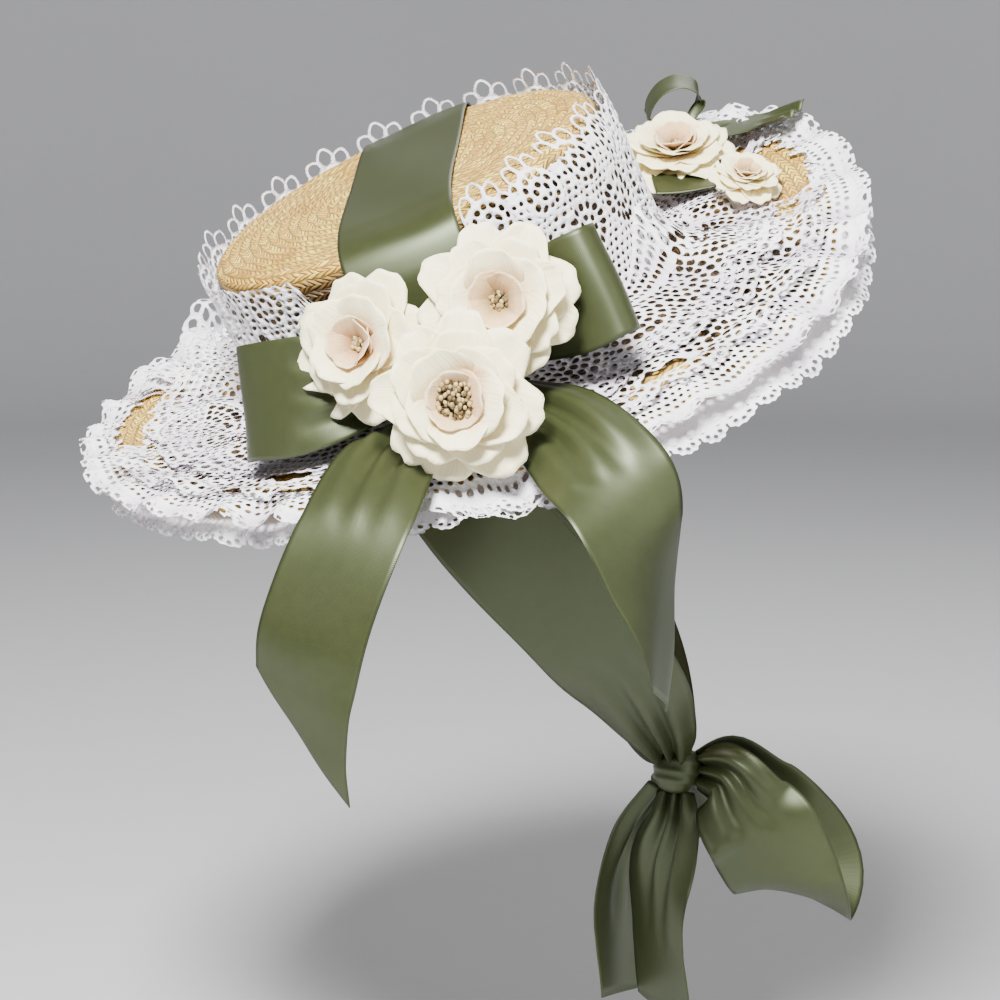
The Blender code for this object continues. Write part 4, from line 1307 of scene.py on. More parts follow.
def crown_ribbon(material):
    """Satin laid over the crown: each column follows the crown's outline at its place across the ribbon."""
    columns, rows, lift = 31, 120, 0.0017
    share = np.linspace(-1, 1, columns)
    lines = []
    for c in share:
        x = 0.0015 + c * SATIN_WIDTH / 2
        shrink = np.sqrt(1 - (x / (CROWN_ROWS[:5, 0] + 0.001)) ** 2)
        wall_y = (CROWN_ROWS[:5, 1] + 0.0005) * shrink
        wall_z = CROWN_ROWS[:5, 2]
        near = [(-(wall_y[0] + out), z) for out, z in RIBBON_BEND]
        near += [(-wall_y[4] + 0.0040, wall_z[4] + lift + 0.0006)]
        top = [(y, CROWN_HEIGHT + lift) for y in (-0.056, -0.022, 0.022, 0.056)]
        far = [(wall_y[4], wall_z[4] + lift + 0.0003)]
        far += [(y + lift, z + lift * (z > 0.07)) for y, z in zip(wall_y[3:0:-1], wall_z[3:0:-1])]
        far += [(wall_y[0] + lift, 0.006)]
        line = np.array(near + top + far)
        length = length_so_far(line)
        even = np.linspace(0, length[-1], rows)
        yz = np.stack([np.interp(even, length, line[:, i]) for i in range(2)], -1)
        lines.append(np.column_stack([np.full(rows, x), yz]))
    points = np.stack(lines, 1)
    for _ in range(2):
        points[1:-1] = (points[:-2] + 2 * points[1:-1] + points[2:]) / 4
    length = length_so_far(points[:, columns // 2])
    points[..., 0] += 0.0055 * smoothstep(points[..., 1], -0.05, 0.08)
    ripple = 0.0004 * np.sin(length[:, None] * 60 + 3 * share)
    points[..., 2] += ripple * smoothstep(points[..., 2], 0.07, 0.076)
    faces = grid_quads(rows, columns)
    uv = corner_places(share * SATIN_WIDTH / 2, length[:, None], faces)
    points, nodes = worn(points.reshape(-1, 3)), ["crown_ribbon"]
    obj = add_piece("ribbon_over_crown", points, faces, material, nodes, corner_uv=uv)
    thicken(obj, SATIN_THICK)


# Stations of each ribbon: x, y, z, then the direction across, then the width. The loops of the big bow are in
# the hat's own frame, and its tails hang upright. A knot is its middle and its radius.
KNOT_AT = (0.000, -0.1010, 0.014)
BOW_KNOT = (KNOT_AT, 0.011)
BOW_LOOP_LEFT = [
    (-0.0110, -0.1035, 0.0220, 0.10, 0.20, 1.00, 0.015),
    (-0.0350, -0.1185, 0.0320, 0.25, 0.40, 0.88, 0.039),
    (-0.0620, -0.1170, 0.0375, 0.30, 0.41, 0.86, 0.050),
    (-0.0815, -0.1070, 0.0390, 0.30, 0.41, 0.86, 0.050),
    (-0.0880, -0.0970, 0.0362, 0.30, 0.41, 0.86, 0.050),
    (-0.0805, -0.0890, 0.0318, 0.30, 0.41, 0.86, 0.050),
    (-0.0580, -0.0925, 0.0285, 0.30, 0.41, 0.86, 0.048),
    (-0.0350, -0.0985, 0.0255, 0.20, 0.40, 0.90, 0.038),
    (-0.0110, -0.0975, 0.0210, 0.10, 0.20, 1.00, 0.016),
]
BOW_LOOP_RIGHT = [
    (0.0110, -0.1035, 0.0220, 0.00, 0.15, 1.00, 0.015),
    (0.0350, -0.1115, 0.0285, 0.00, 0.35, 0.95, 0.037),
    (0.0610, -0.1240, 0.0335, -0.03, 0.38, 0.92, 0.048),
    (0.0775, -0.1270, 0.0355, -0.03, 0.38, 0.92, 0.048),
    (0.0845, -0.1195, 0.0330, -0.03, 0.38, 0.92, 0.048),
    (0.0775, -0.1110, 0.0298, -0.03, 0.38, 0.92, 0.048),
    (0.0580, -0.1040, 0.0275, -0.03, 0.38, 0.92, 0.045),
    (0.0350, -0.1000, 0.0255, 0.00, 0.35, 0.95, 0.036),
    (0.0110, -0.0975, 0.0210, 0.00, 0.15, 1.00, 0.016),
]
BOW_TAIL_LEFT = [
    (-0.0082, -0.1075, -0.0213, 0.95, -0.25, 0.05, 0.016),
    (-0.0170, -0.1230, -0.0312, 0.90, -0.38, 0.00, 0.030),
    (-0.0310, -0.1460, -0.0400, 0.86, -0.48, -0.05, 0.046),
    (-0.0438, -0.1780, -0.0645, 0.78, -0.62, -0.11, 0.054),
    (-0.0592, -0.1900, -0.1041, 0.83, -0.54, -0.06, 0.054),
    (-0.0640, -0.1880, -0.1300, 0.74, -0.67, -0.03, 0.054),
    (-0.0650, -0.1840, -0.1530, 0.72, -0.70, 0.00, 0.054),
    (-0.0640, -0.1820, -0.1740, 0.72, -0.70, 0.00, 0.054),
]
BOW_TAIL_RIGHT = [
    (0.0050, -0.1090, -0.0180, 0.75, 0.30, 0.45, 0.014),
    (0.0205, -0.1290, -0.0205, 0.75, 0.20, 0.60, 0.030),
    (0.0405, -0.1560, -0.0270, 0.68, 0.38, 0.62, 0.044),
    (0.0592, -0.1830, -0.0435, 0.70, 0.52, 0.47, 0.054),
    (0.0692, -0.1940, -0.0645, 0.69, 0.70, 0.21, 0.054),
    (0.0760, -0.1910, -0.0896, 0.47, 0.87, -0.08, 0.054),
    (0.0805, -0.1870, -0.1150, 0.25, 0.96, -0.08, 0.054),
    (0.0820, -0.1830, -0.1500, 0.10, 0.99, -0.05, 0.054),
]
CHIN_KNOT = ((0.100, -0.004, -0.215), 0.012)
TIE_NEAR = [
    (*worn((-0.0292, -0.0738, 0.0120)), *worn((0.954, -0.298, 0)), 0.054),
    (*worn((-0.0285, -0.0725, -0.0060)), *worn((0.960, -0.290, 0)), 0.054),
    (0.0060, -0.0830, -0.0760, 0.80, 0.00, 0.60, 0.054),
    (0.0440, -0.0760, -0.1200, 0.78, -0.06, 0.62, 0.054),
    (0.0740, -0.0530, -0.1610, 0.64, -0.42, 0.62, 0.052),
    (0.0900, -0.0260, -0.1930, 0.50, -0.60, 0.60, 0.036),
    (0.0950, -0.0130, -0.2070, 0.50, -0.60, 0.60, 0.020),
]
TIE_FAR = [
    (*worn((0.0000, 0.0790, 0.0120)), *worn((1, 0, 0)), 0.054),
    (*worn((0.0000, 0.0780, -0.0060)), *worn((1, 0, 0)), 0.054),
    (0.0220, 0.0880, -0.0600, 0.85, 0.00, 0.50, 0.054),
    (0.0540, 0.0800, -0.1180, 0.78, 0.10, 0.62, 0.054),
    (0.0800, 0.0520, -0.1680, 0.64, 0.42, 0.62, 0.052),
    (0.0935, 0.0200, -0.2000, 0.50, 0.60, 0.60, 0.036),
    (0.0970, 0.0050, -0.2080, 0.50, 0.60, 0.60, 0.020),
]
CHIN_LOOP_NEAR = [
    (0.1135, -0.0080, -0.2140, 0.25, 0.00, 0.97, 0.020),
    (0.1220, -0.0160, -0.2160, 0.62, -0.10, 0.70, 0.034),
    (0.1300, -0.0230, -0.2290, 0.90, -0.05, 0.25, 0.048),
    (0.1400, -0.0260, -0.2420, 0.96, 0.00, -0.15, 0.054),
    (0.1525, -0.0210, -0.2660, 0.96, 0.00, -0.27, 0.054),
    (0.1600, -0.0090, -0.2745, 0.96, 0.00, -0.28, 0.054),
    (0.1650, 0.0010, -0.2640, 0.96, 0.05, -0.25, 0.054),
    (0.1530, 0.0040, -0.2480, 0.95, 0.05, -0.10, 0.054),
    (0.1370, 0.0040, -0.2280, 0.85, 0.05, 0.40, 0.046),
    (0.1250, 0.0020, -0.2110, 0.45, 0.00, 0.85, 0.026),
    (0.1135, -0.0010, -0.2115, 0.10, 0.00, 0.99, 0.014),
]
CHIN_LOOP_FAR = [
    (0.1050, 0.0085, -0.2200, 0.85, -0.20, 0.35, 0.018),
    (0.1130, 0.0280, -0.2330, 0.92, -0.20, 0.25, 0.040),
    (0.1180, 0.0480, -0.2500, 0.95, -0.15, 0.15, 0.054),
    (0.1210, 0.0640, -0.2680, 0.95, -0.15, 0.10, 0.054),
    (0.1220, 0.0760, -0.2710, 0.95, -0.15, 0.10, 0.054),
    (0.1210, 0.0800, -0.2600, 0.95, -0.15, 0.10, 0.054),
    (0.1190, 0.0680, -0.2370, 0.95, -0.15, 0.15, 0.054),
    (0.1140, 0.0380, -0.2200, 0.92, -0.20, 0.25, 0.040),
    (0.1050, 0.0090, -0.2140, 0.90, -0.35, 0.10, 0.014),
]
CHIN_TAIL_FRONT = [
    (0.0985, -0.0090, -0.2270, 0.90, -0.30, 0.00, 0.018),
    (0.0965, -0.0130, -0.2400, 0.80, -0.60, 0.10, 0.030),
    (0.0905, -0.0090, -0.2680, 0.50, -0.86, 0.05, 0.050),
    (0.0912, -0.0070, -0.3000, 0.40, -0.91, 0.00, 0.054),
    (0.0970, -0.0080, -0.3440, 0.42, -0.90, 0.00, 0.054),
]
CHIN_TAIL_BACK = [
    (0.0940, 0.0040, -0.2250, 0.80, 0.50, 0.20, 0.020),
    (0.0850, 0.0150, -0.2450, 0.70, 0.70, 0.15, 0.038),
    (0.0780, 0.0220, -0.2700, 0.55, 0.83, 0.08, 0.050),
    (0.0755, 0.0230, -0.3000, 0.50, 0.86, 0.00, 0.054),
    (0.0795, 0.0220, -0.3420, 0.50, 0.86, 0.00, 0.054),
]

# The small bow at the back, in the hat's own frame
BACK_KNOT = ((0.121, 0.079, 0.0142), 0.008)
BACK_LOOP = [
    (0.1165, 0.0860, 0.0204, -0.02, 0.99, 0.07, 0.009),
    (0.1095, 0.0940, 0.0235, -0.02, 0.99, 0.07, 0.020),
    (0.1085, 0.0945, 0.0290, -0.02, 0.99, 0.07, 0.022),
    (0.1125, 0.0940, 0.0350, -0.02, 0.99, 0.07, 0.022),
    (0.1200, 0.0940, 0.0390, -0.02, 0.99, 0.07, 0.022),
    (0.1295, 0.0940, 0.0385, -0.02, 0.99, 0.07, 0.022),
    (0.1355, 0.0940, 0.0325, -0.02, 0.99, 0.07, 0.022),
    (0.1344, 0.0940, 0.0265, -0.02, 0.99, 0.07, 0.022),
    (0.1285, 0.0900, 0.0220, -0.02, 0.99, 0.07, 0.014),
    (0.1245, 0.0860, 0.0197, -0.02, 0.99, 0.07, 0.008),
]
BACK_TAIL_OUT = [
    (0.1290, 0.0785, 0.0150, -0.30, 0.95, 0.00, 0.014),
    (0.1410, 0.0765, 0.0132, -0.10, 0.99, -0.02, 0.026),
    (0.1580, 0.0700, 0.0118, 0.05, 0.99, -0.06, 0.026),
    (0.1755, 0.0590, 0.0130, 0.10, 0.98, -0.12, 0.022),
]
BACK_TAIL_NEAR = [
    (0.1184, 0.0729, 0.0110, 0.90, -0.43, 0.00, 0.010),
    (0.1145, 0.0570, 0.0118, 0.95, 0.00, -0.22, 0.022),
    (0.1155, 0.0390, 0.0122, 0.94, 0.00, -0.32, 0.028),
    (0.1160, 0.0200, 0.0100, 0.94, 0.00, -0.32, 0.028),
]


# Flowers


def facing_axes(direction):
    """Three axes at right angles, the last along a direction."""
    facing = unit(np.array(direction, float))
    side = np.cross(facing, (0, 0, 1))
    if np.linalg.norm(side) < 0.2:
        side = np.cross(facing, (0, 1, 0))
    side = unit(side)
    return side, np.cross(facing, side), facing


def petal_sheet(length, width, lift, curl, seed):
    """One petal on a grid, with its length along X and its hollow along Z.

    Its half width is a sine of the way along, blunt at the tip, its end is round with a shallow notch, its
    sides rise with the square of the way across, and its rim is ruffled by two waves.
    """
    p = np.linspace(0.03, 1.0, 14)[:, None]
    q = np.linspace(-1.0, 1.0, 13)
    a, b, c = np.random.default_rng(seed).uniform(-1, 1, 3)
    half = width / 2 * np.sin(np.pi * p**0.72 * 0.78) ** 0.55
    notch = 0.030 * (1 + b) * np.exp(-(((q - 0.3 * a) / 0.2) ** 2)) * p**6
    rounded = 1 - 0.26 * np.abs(q) ** 3.2 * p**2 - notch - 0.012 * np.cos(8 * q + 4 * c) * p**5
    x = length * p * rounded
    y = half * q * (1 + 0.08 * a * p)
    rim = p**2.2
    ruffle = 0.036 * np.sin(2.6 * q + 3 * a) + 0.014 * np.sin(7.5 * q + 5 * b) * p
    pleat = 0.007 * np.sin(24 * q + 5 * a) * np.sin(np.pi * p)
    z = length * (lift * p**1.6 + curl * rim + ruffle * rim + pleat) + 0.30 * half * q**2 * (1 - 0.7 * p)
    return np.stack([x, y, np.broadcast_to(z, x.shape)], -1)


def whorl(bloom, count, length, width, tilt, lift, curl, turn, height, seed):
    """Petals round a bloom's foot: each is tilted up from the bloom's plane and turned to its own place."""
    side, up, facing = facing_axes(bloom["facing"])
    foot = np.array(bloom["foot"])
    jitter = np.random.default_rng(seed).uniform(-1, 1, (count, 4))
    parts, uvs = [], []
    for k in range(count):
        own_length, own_width = length * (1 + 0.07 * jitter[k, 0]), width * (1 + 0.08 * jitter[k, 1])
        sheet = petal_sheet(own_length, own_width, lift, curl, seed * 31 + k)
        angle = 2 * math.pi * (k + 0.16 * jitter[k, 2]) / count + turn
        rise = tilt + 0.09 * jitter[k, 3]
        radial = math.cos(angle) * side + math.sin(angle) * up
        tangent = -math.sin(angle) * side + math.cos(angle) * up
        outward = math.cos(rise) * radial + math.sin(rise) * facing
        hollow = -math.sin(rise) * radial + math.cos(rise) * facing
        base = foot + facing * (height + 0.0003 * (k % 2))
        points = base + sheet[..., :1] * outward + sheet[..., 1:2] * tangent + sheet[..., 2:] * hollow
        rows, columns = points.shape[:2]
        faces = grid_quads(rows, columns)
        parts.append((points.reshape(-1, 3), faces))
        u, v = np.linspace(0, 1, columns) + k, np.linspace(0, 1, rows)[:, None]
        uvs.append(corner_places(u, v, faces))
    points, faces = joined(parts)
    return points, faces, np.vstack(uvs)


def bloom_pieces(bloom, petal, inner, stamen, leaf):
    """A bloom: three outer whorls, an inner whorl, a head of stamens, and the wire stem to its knot.

    The stem runs straight to the knot, with a sine's sag away from the bloom's face.
    """
    name, size, turn, seed = bloom["name"], bloom["radius"], bloom["turn"], bloom["seed"]
    outer = [
        whorl(bloom, 8, size * 1.04, size * 0.84, 0.10, 0.10, -0.16, turn, 0.0, seed),
        whorl(bloom, 7, size * 0.88, size * 0.80, 0.34, 0.12, -0.16, turn + 0.4, 0.0010, seed + 1),
        whorl(bloom, 5, size * 0.72, size * 0.84, 0.60, 0.10, -0.14, turn + 0.9, 0.0016, seed + 3),
    ]
    points, faces = joined([(p, f) for p, f, _ in outer])
    uv = np.vstack([u for _, _, u in outer])
    obj = add_piece(name + "_whorls", worn(points), faces, petal, [name + "_petals"], corner_uv=uv)
    thicken(obj, PETAL_THICK)
    heart = whorl(bloom, 5, size * 0.50, size * 0.60, 0.86, 0.06, -0.10, turn + 0.2, 0.0020, seed + 2)
    points, faces, uv = heart
    obj = add_piece(name + "_heart", worn(points), faces, inner, [name + "_inner"], corner_uv=uv)
    thicken(obj, PETAL_THICK)
    stamens(bloom, stamen)
    facing = facing_axes(bloom["facing"])[2]
    start = np.array(bloom["foot"]) - facing * 0.0005
    knot_at, knot_radius = bloom["knot"]
    knot_at = np.array(knot_at)
    end = knot_at + unit(start - knot_at) * knot_radius * 0.9
    stations = 9
    share = np.linspace(0, 1, stations)[:, None]
    path = start + (end - start) * share - facing * (0.006 * np.sin(np.pi * share) * min(1.0, 30 * size))
    radii = np.linspace(0.0030, 0.0016, stations)
    radii[:2] = (0.0052, 0.0040)
    points, faces = tubes(path[None], radii[None], 8)
    add_piece(name + "_stem", worn(points), faces, leaf)


def stamens(bloom, material):
    """Thread stamens over a dark dome, each with a small oval tip, in directions on a golden spiral."""
    rng = np.random.default_rng(bloom["seed"] + 7)
    count, dome = bloom["stamens"], bloom["dome"]
    side, up, facing = facing_axes(bloom["facing"])
    number = np.arange(count)
    turn = number * math.pi * (3 - math.sqrt(5)) + rng.uniform(-0.25, 0.25, count)
    spread = np.sqrt((number + 0.5) / count) * 1.30 + rng.uniform(-0.07, 0.07, count)
    length = dome * rng.uniform(1.0, 1.28, count)
    outward = np.cos(turn)[:, None] * side + np.sin(turn)[:, None] * up
    direction = np.cos(spread)[:, None] * facing + np.sin(spread)[:, None] * outward
    share = np.linspace(0.55, 1, 3)
    root = np.array(bloom["foot"]) + facing * 0.0030
    paths = root + direction[:, None] * (length[:, None] * share)[..., None]
    radii = np.broadcast_to(np.linspace(0.00030, 0.00022, 3), (count, 3))
    threads = tubes(worn(paths), radii, 3)
    tips = beads(worn(paths[:, -1]), rng.uniform(0.00075, 0.00115, count), 1.15)
    middle = beads(worn(root[None]), np.array([dome * 0.86]), 1.0, 16, 10)
    points, faces = joined([threads, tips, middle])
    tip = np.zeros(len(points))
    shades = np.where(rng.uniform(size=count) < 0.30, 0.12, rng.uniform(0.5, 1.0, count))
    tip[len(threads[0]) : len(threads[0]) + len(tips[0])] = np.repeat(shades, len(tips[0]) // count)
    name, nodes = bloom["name"] + "_threads", [bloom["name"] + "_stamens"]
    add_piece(name, points, faces, material, nodes, values={"tip": tip})


# Each bloom: foot and facing in the hat's own frame, radius, turn, seed of its random draws, number of
# stamens, radius of the dome they stand on, and the knot its stem runs to
BLOOM_PARTS = ("name", "foot", "facing", "radius", "turn", "seed", "stamens", "dome", "knot")
BLOOM_ROWS = [
    ("flower_front", (0.0090, -0.1590, 0.0235), (0.08, -0.90, 0.40), 0.0340, 0.3, 11, 190, 0.0092, BOW_KNOT),
    ("flower_left", (-0.0235, -0.1195, 0.0470), (-0.30, -0.76, 0.58), 0.0320, 0.9, 23, 34, 0.0034, BOW_KNOT),
    ("flower_right", (0.0375, -0.1300, 0.0450), (0.05, -0.88, 0.45), 0.0330, 0.0, 37, 42, 0.0042, BOW_KNOT),
    ("back_flower", (0.1155, 0.0575, 0.0165), (0.30, -0.27, 0.92), 0.0280, 0.4, 51, 36, 0.0036, BACK_KNOT),
    ("back_bud", (0.1432, 0.0080, 0.0072), (0.46, -0.30, 0.83), 0.0175, 0.2, 67, 22, 0.0024, BACK_KNOT),
]
BLOOMS = [dict(zip(BLOOM_PARTS, row)) for row in BLOOM_ROWS]


# What a user can change


COLOUR = {"subtype": "COLOR", "min": 0, "max": 1}


class HatColours(bpy.types.PropertyGroup):
    """Colours of the hat's materials"""

    straw: bpy.props.FloatVectorProperty(
        name="Straw", description="Colour of the plaited straw", default=(0.80, 0.50, 0.107), **COLOUR
    )
    lace: bpy.props.FloatVectorProperty(
        name="Lace", description="Colour of the cotton lace", default=(0.95, 0.94, 0.95), **COLOUR
    )
    satin: bpy.props.FloatVectorProperty(
        name="Satin", description="Colour of the satin ribbon", default=(0.027, 0.032, 0.011), **COLOUR
    )
    petal: bpy.props.FloatVectorProperty(
        name="Petals", description="Colour of the cloth petals", default=(0.97, 0.89, 0.57), **COLOUR
    )
    stamen: bpy.props.FloatVectorProperty(
        name="Stamens", description="Colour of the stamen threads", default=(0.085, 0.050, 0.016), **COLOUR
    )
    stamen_tip: bpy.props.FloatVectorProperty(
        name="Stamen tips", description="Colour of the stamens' tips", default=(0.66, 0.50, 0.22), **COLOUR
    )


class HatSizes(bpy.types.PropertyGroup):
    """Sizes of the plait and the lace"""

    row_pitch: bpy.props.FloatProperty(
        name="Row pitch",
        description="Width of one row of plait",
        subtype="DISTANCE",
        default=0.005,
        min=0.003,
        max=0.010,
    )
    plait_depth: bpy.props.FloatProperty(
        name="Plait depth",
        description="How far the plait stands up",
        subtype="DISTANCE",
        default=0.0008,
        min=0,
        max=0.002,
    )
    frill_height: bpy.props.FloatProperty(
        name="Frill height",
        description="How high the gathers stand, as a share",
        subtype="FACTOR",
        default=1.0,
        min=0,
        max=1.2,
    )
    band_pleat: bpy.props.FloatProperty(
        name="Band pleats",
        description="Depth of the pleats in the crown's lace",
        subtype="DISTANCE",
        default=0.0009,
        min=0,
        max=0.002,
    )


class StageSizes(bpy.types.PropertyGroup):
    """The floor's colour and the lights' power"""

    floor_colour: bpy.props.FloatVectorProperty(
        name="Floor", description="Colour of the floor", default=(0.54, 0.54, 0.55), **COLOUR
    )
    key_power: bpy.props.FloatProperty(
        name="Key light", description="Power of the main light", subtype="POWER", default=126, min=0
    )
    fill_power: bpy.props.FloatProperty(
        name="Fill light", description="Power of the side light", subtype="POWER", default=8.0, min=0
    )
    rim_power: bpy.props.FloatProperty(
        name="Rim light", description="Power of the light behind", subtype="POWER", default=10.0, min=0
    )


def satin_here(context):
    """The satin in the colour that the panel shows."""
    return satin_material(tuple(context.scene.hat_colours.satin))


class HAT_OT_straw(bpy.types.Operator):
    """Build the plaited straw crown and brim"""

    bl_idname = "hat.straw"
    bl_label = "Straw crown and brim"

    def execute(self, context):
        material = straw_material(tuple(context.scene.hat_colours.straw))
        straw_crown(context.scene.hat_sizes, material)
        straw_brim(context.scene.hat_sizes, material)
        return {"FINISHED"}


class HAT_OT_lace(bpy.types.Operator):
    """Build the lace band round the crown and the frills on the brim"""

    bl_idname = "hat.lace"
    bl_label = "Lace band and frills"

    def execute(self, context):
        material = lace_material(tuple(context.scene.hat_colours.lace))
        sizes = context.scene.hat_sizes
        crown_band(sizes, material)
        inner_frill(sizes, material)
        middle_frill(material)
        edge_frill(sizes, material)
        under_frill(material)
        return {"FINISHED"}


class HAT_OT_big_bow(bpy.types.Operator):
    """Build the ribbon over the crown and the big bow with its tails"""

    bl_idname = "hat.big_bow"
    bl_label = "Crown ribbon and big bow"

    def execute(self, context):
        satin = satin_here(context)
        crown_ribbon(satin)
        knot_wrap("big_knot", *BOW_KNOT, (0, 0.2, 1), satin, "bow_knot", local=True)
        for name, stations in (("loop_left", BOW_LOOP_LEFT), ("loop_right", BOW_LOOP_RIGHT)):
            node = "bow_" + name
            ribbon(name, stations, satin, node, BOW_KNOT, BOTH_ENDS, local=True)
        hung_from = (tuple(worn(KNOT_AT)), BOW_KNOT[1])
        ribbon("tail_left", BOW_TAIL_LEFT, satin, "bow_tail_left", hung_from, slant=0.046)
        ribbon("tail_right", BOW_TAIL_RIGHT, satin, "bow_tail_right", hung_from, slant=0.030)
        return {"FINISHED"}


class HAT_OT_back_bow(bpy.types.Operator):
    """Build the small bow at the back"""

    bl_idname = "hat.back_bow"
    bl_label = "Small bow"

    def execute(self, context):
        satin = satin_here(context)
        knot_wrap("small_knot", *BACK_KNOT, (0.3, 0.9, 0.2), satin, "back_knot", local=True)
        for name, stations, ends, held in (
            ("loop", BACK_LOOP, BOTH_ENDS, "folded"),
            ("tail_out", BACK_TAIL_OUT, FIRST_END, "hung"),
            ("tail_near", BACK_TAIL_NEAR, FIRST_END, "hung"),
        ):
            piece, node, rests = "small_" + name, "back_" + name, ["small_knot"]
            ribbon(piece, stations, satin, node, BACK_KNOT, ends, local=True, pleats=2)
        return {"FINISHED"}


class HAT_OT_ties(bpy.types.Operator):
    """Build the two ties and the bow that closes them"""

    bl_idname = "hat.ties"
    bl_label = "Ties and chin bow"

    def execute(self, context):
        satin = satin_here(context)
        knot_wrap("chin_wrap", *CHIN_KNOT, (0.2, 0.1, 1), satin, "chin_knot", local=False)
        tied, sewn = ["chin_wrap"], ["crown_straw", "chin_wrap"]
        for node, stations, rests, ends, held, slant in (
            ("tie_near", TIE_NEAR, sewn, LAST_END, "stretched", 0.0),
            ("tie_far", TIE_FAR, sewn, LAST_END, "stretched", 0.0),
            ("chin_loop_near", CHIN_LOOP_NEAR, tied, BOTH_ENDS, "folded", 0.0),
            ("chin_loop_far", CHIN_LOOP_FAR, tied, BOTH_ENDS, "folded", 0.0),
            ("chin_tail_front", CHIN_TAIL_FRONT, tied, FIRST_END, "hung", 0.012),
            ("chin_tail_back", CHIN_TAIL_BACK, tied, FIRST_END, "hung", 0.012),
        ):
            ribbon(node + "_satin", stations, satin, node, CHIN_KNOT, ends, slant=slant)
        return {"FINISHED"}


class HAT_OT_flowers(bpy.types.Operator):
    """Build the cloth flowers"""

    bl_idname = "hat.flowers"
    bl_label = "Flowers"

    def execute(self, context):
        colours = context.scene.hat_colours
        ivory = tuple(colours.petal)
        # The base colours at the petals' feet, and the inner petals' tan, are partly tint and partly painted
        # shade in the bloom's hollow.
        petal = petal_material("ivory petal", ivory, (0.60, 0.42, 0.20), shade(ivory, 1.04))
        inner = petal_material("inner petal", (0.72, 0.49, 0.26), (0.26, 0.15, 0.05), (0.90, 0.74, 0.48))
        leaf = petal_material("flower wire", (0.30, 0.36, 0.18), (0.22, 0.28, 0.12), (0.30, 0.36, 0.18))
        stamen = stamen_material(tuple(colours.stamen), tuple(colours.stamen_tip))
        for bloom in BLOOMS:
            bloom_pieces(bloom, petal, inner, stamen, leaf)
        return {"FINISHED"}


# The stage: the camera's place, tilt and lens, the point that the lights shine at, and the sky's light
CAMERA_AT = (0.0155, -1.1963, 0.1260)
CAMERA_TILT = math.radians(80.0)
CAMERA_LENS = 92.88
LIT_POINT = (0.01, -0.02, -0.06)
SKY_COLOUR = (0.92, 0.94, 1.0, 1.0)
SKY_STRENGTH = 0.16
# The floor: how far out it is flat, the radius of the bend that it ends in, and the height of its rim
FLOOR_FLAT = 2.6
FLOOR_BEND = 0.9
FLOOR_RIM = 1.6


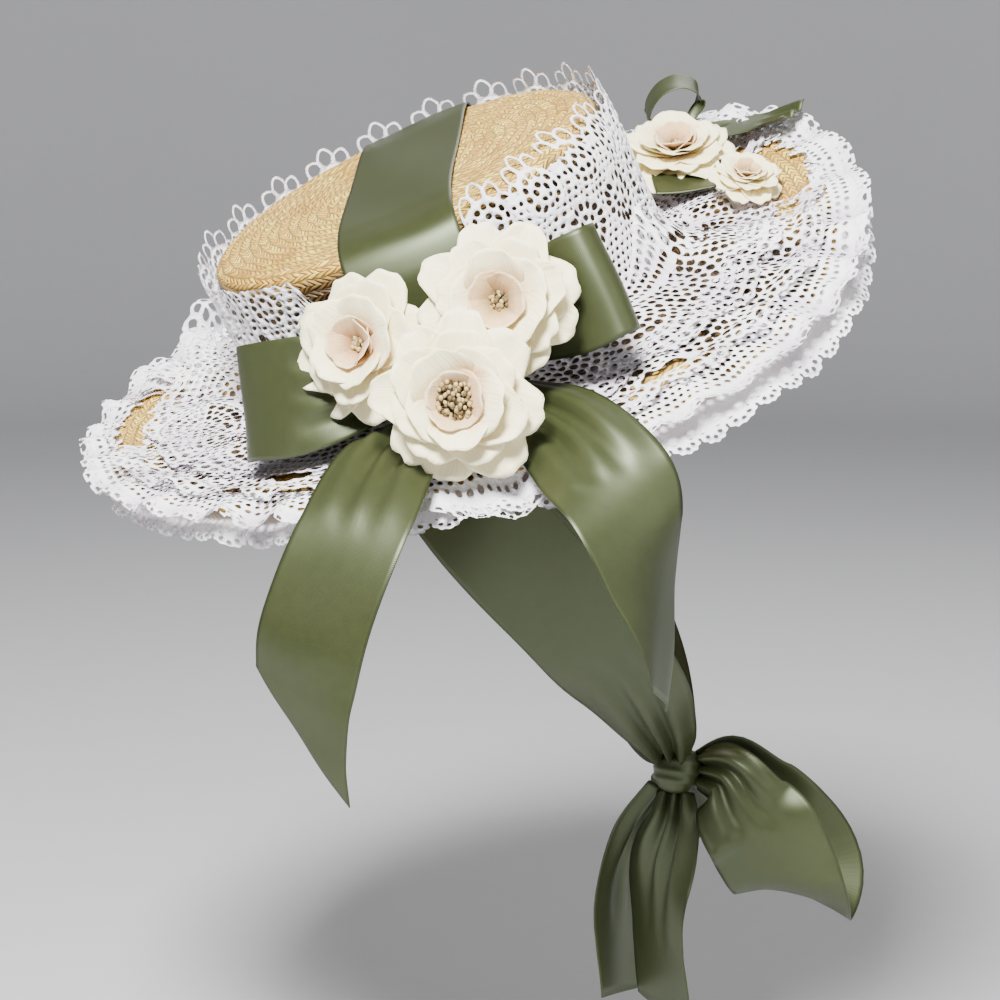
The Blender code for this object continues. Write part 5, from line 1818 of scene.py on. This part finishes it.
class HAT_OT_stage(bpy.types.Operator):
    """Build the floor, the lights and the camera"""

    bl_idname = "hat.stage"
    bl_label = "Floor, lights and camera"

    def execute(self, context):
        scene, sizes = context.scene, context.scene.hat_stage
        rise = np.linspace(0.0, np.pi / 2, 13)
        bend = FLOOR_FLAT + FLOOR_BEND * np.sin(rise)
        radius = np.concatenate([[0.001, 1.2], bend, bend[-1:]])
        level = FLOOR_LEVEL + np.concatenate([[0.0, 0.0], FLOOR_BEND * (1 - np.cos(rise)), [FLOOR_RIM]])
        turn = azimuths(64)
        x, y = radius[:, None] * np.cos(turn), radius[:, None] * np.sin(turn)
        points = np.stack([x, y, np.broadcast_to(level[:, None], x.shape)], -1).reshape(-1, 3)
        mesh = bpy.data.meshes.new("floor")
        mesh.from_pydata(points.tolist(), [], grid_quads(len(radius), len(turn), wrap=True)[:, ::-1].tolist())
        mesh.shade_smooth()
        made, tree, shader = start_material("floor paper", 0.9)
        mottle = use_group(tree, mottle_group(), coordinates(tree, "Object"), Broad=2.0, Fine=60.0)
        colour = tuple(sizes.floor_colour)
        tree.links.new(
            ramp_node(tree, mottle.outputs["Mask"], [(0.3, shade(colour, 0.97)), (0.7, shade(colour, 1.02))]),
            shader.inputs["Base Color"],
        )
        mesh.materials.append(made)
        floor = bpy.data.objects.new("floor", mesh)
        scene.collection.objects.link(floor)
        for name, power, place, size in (
            ("key", sizes.key_power, (-0.25, -1.13, 1.22), 0.45),
            ("fill", sizes.fill_power, (1.25, -0.85, 0.35), 1.0),
            ("rim", sizes.rim_power, (0.35, 1.1, 1.0), 0.8),
        ):
            data = bpy.data.lights.new(name, "AREA")
            data.energy = power
            data.size = size
            light = bpy.data.objects.new(name, data)
            light.location = place
            light.rotation_euler = aim(place, LIT_POINT)
            scene.collection.objects.link(light)
        world = bpy.data.worlds.new("soft studio")
        world.use_nodes = True
        background = next(n for n in world.node_tree.nodes if n.type == "BACKGROUND")
        background.inputs["Color"].default_value = SKY_COLOUR
        background.inputs["Strength"].default_value = SKY_STRENGTH
        scene.world = world
        data = bpy.data.cameras.new("camera")
        data.lens = CAMERA_LENS
        data.sensor_width = 36.0
        data.clip_start = 0.01
        camera = bpy.data.objects.new("camera", data)
        camera.location = CAMERA_AT
        camera.rotation_euler = (CAMERA_TILT, 0.0, 0.0)
        scene.collection.objects.link(camera)
        scene.camera = camera
        return {"FINISHED"}


def aim(place, target):
    """Turn of a light at a place so that it shines at the target."""
    x, y, z = (t - p for t, p in zip(target, place))
    return (math.atan2(math.hypot(x, y), -z), 0.0, math.atan2(y, x) - math.pi / 2)


class HAT_PT_panel(bpy.types.Panel):
    """Buttons for the pieces of the hat"""

    bl_idname = "HAT_PT_panel"
    bl_label = "Straw hat"
    bl_space_type = "VIEW_3D"
    bl_region_type = "UI"
    bl_category = "Straw hat"

    def draw(self, context):
        layout = self.layout
        for group in (context.scene.hat_colours, context.scene.hat_sizes, context.scene.hat_stage):
            for name in group.bl_rna.properties.keys():
                if name not in ("rna_type", "name"):
                    layout.prop(group, name)
        for operator in OPERATORS:
            layout.operator(operator.bl_idname)


OPERATORS = (
    HAT_OT_straw,
    HAT_OT_lace,
    HAT_OT_big_bow,
    HAT_OT_back_bow,
    HAT_OT_ties,
    HAT_OT_flowers,
    HAT_OT_stage,
)
CLASSES = (HatColours, HatSizes, StageSizes, *OPERATORS, HAT_PT_panel)


def register():
    """Adds the classes, and the scene's places for their values."""
    for cls in CLASSES:
        bpy.utils.register_class(cls)
    bpy.types.Scene.hat_colours = bpy.props.PointerProperty(type=HatColours)
    bpy.types.Scene.hat_sizes = bpy.props.PointerProperty(type=HatSizes)
    bpy.types.Scene.hat_stage = bpy.props.PointerProperty(type=StageSizes)


def unregister():
    """Takes out what register adds."""
    del bpy.types.Scene.hat_stage
    del bpy.types.Scene.hat_sizes
    del bpy.types.Scene.hat_colours
    for cls in reversed(CLASSES):
        bpy.utils.unregister_class(cls)


def main():
    """Builds the whole hat and its stage."""
    register()
    bpy.ops.hat.straw()
    bpy.ops.hat.lace()
    bpy.ops.hat.big_bow()
    bpy.ops.hat.back_bow()
    bpy.ops.hat.ties()
    bpy.ops.hat.flowers()
    bpy.ops.hat.stage()


if __name__ == "__main__":
    main()
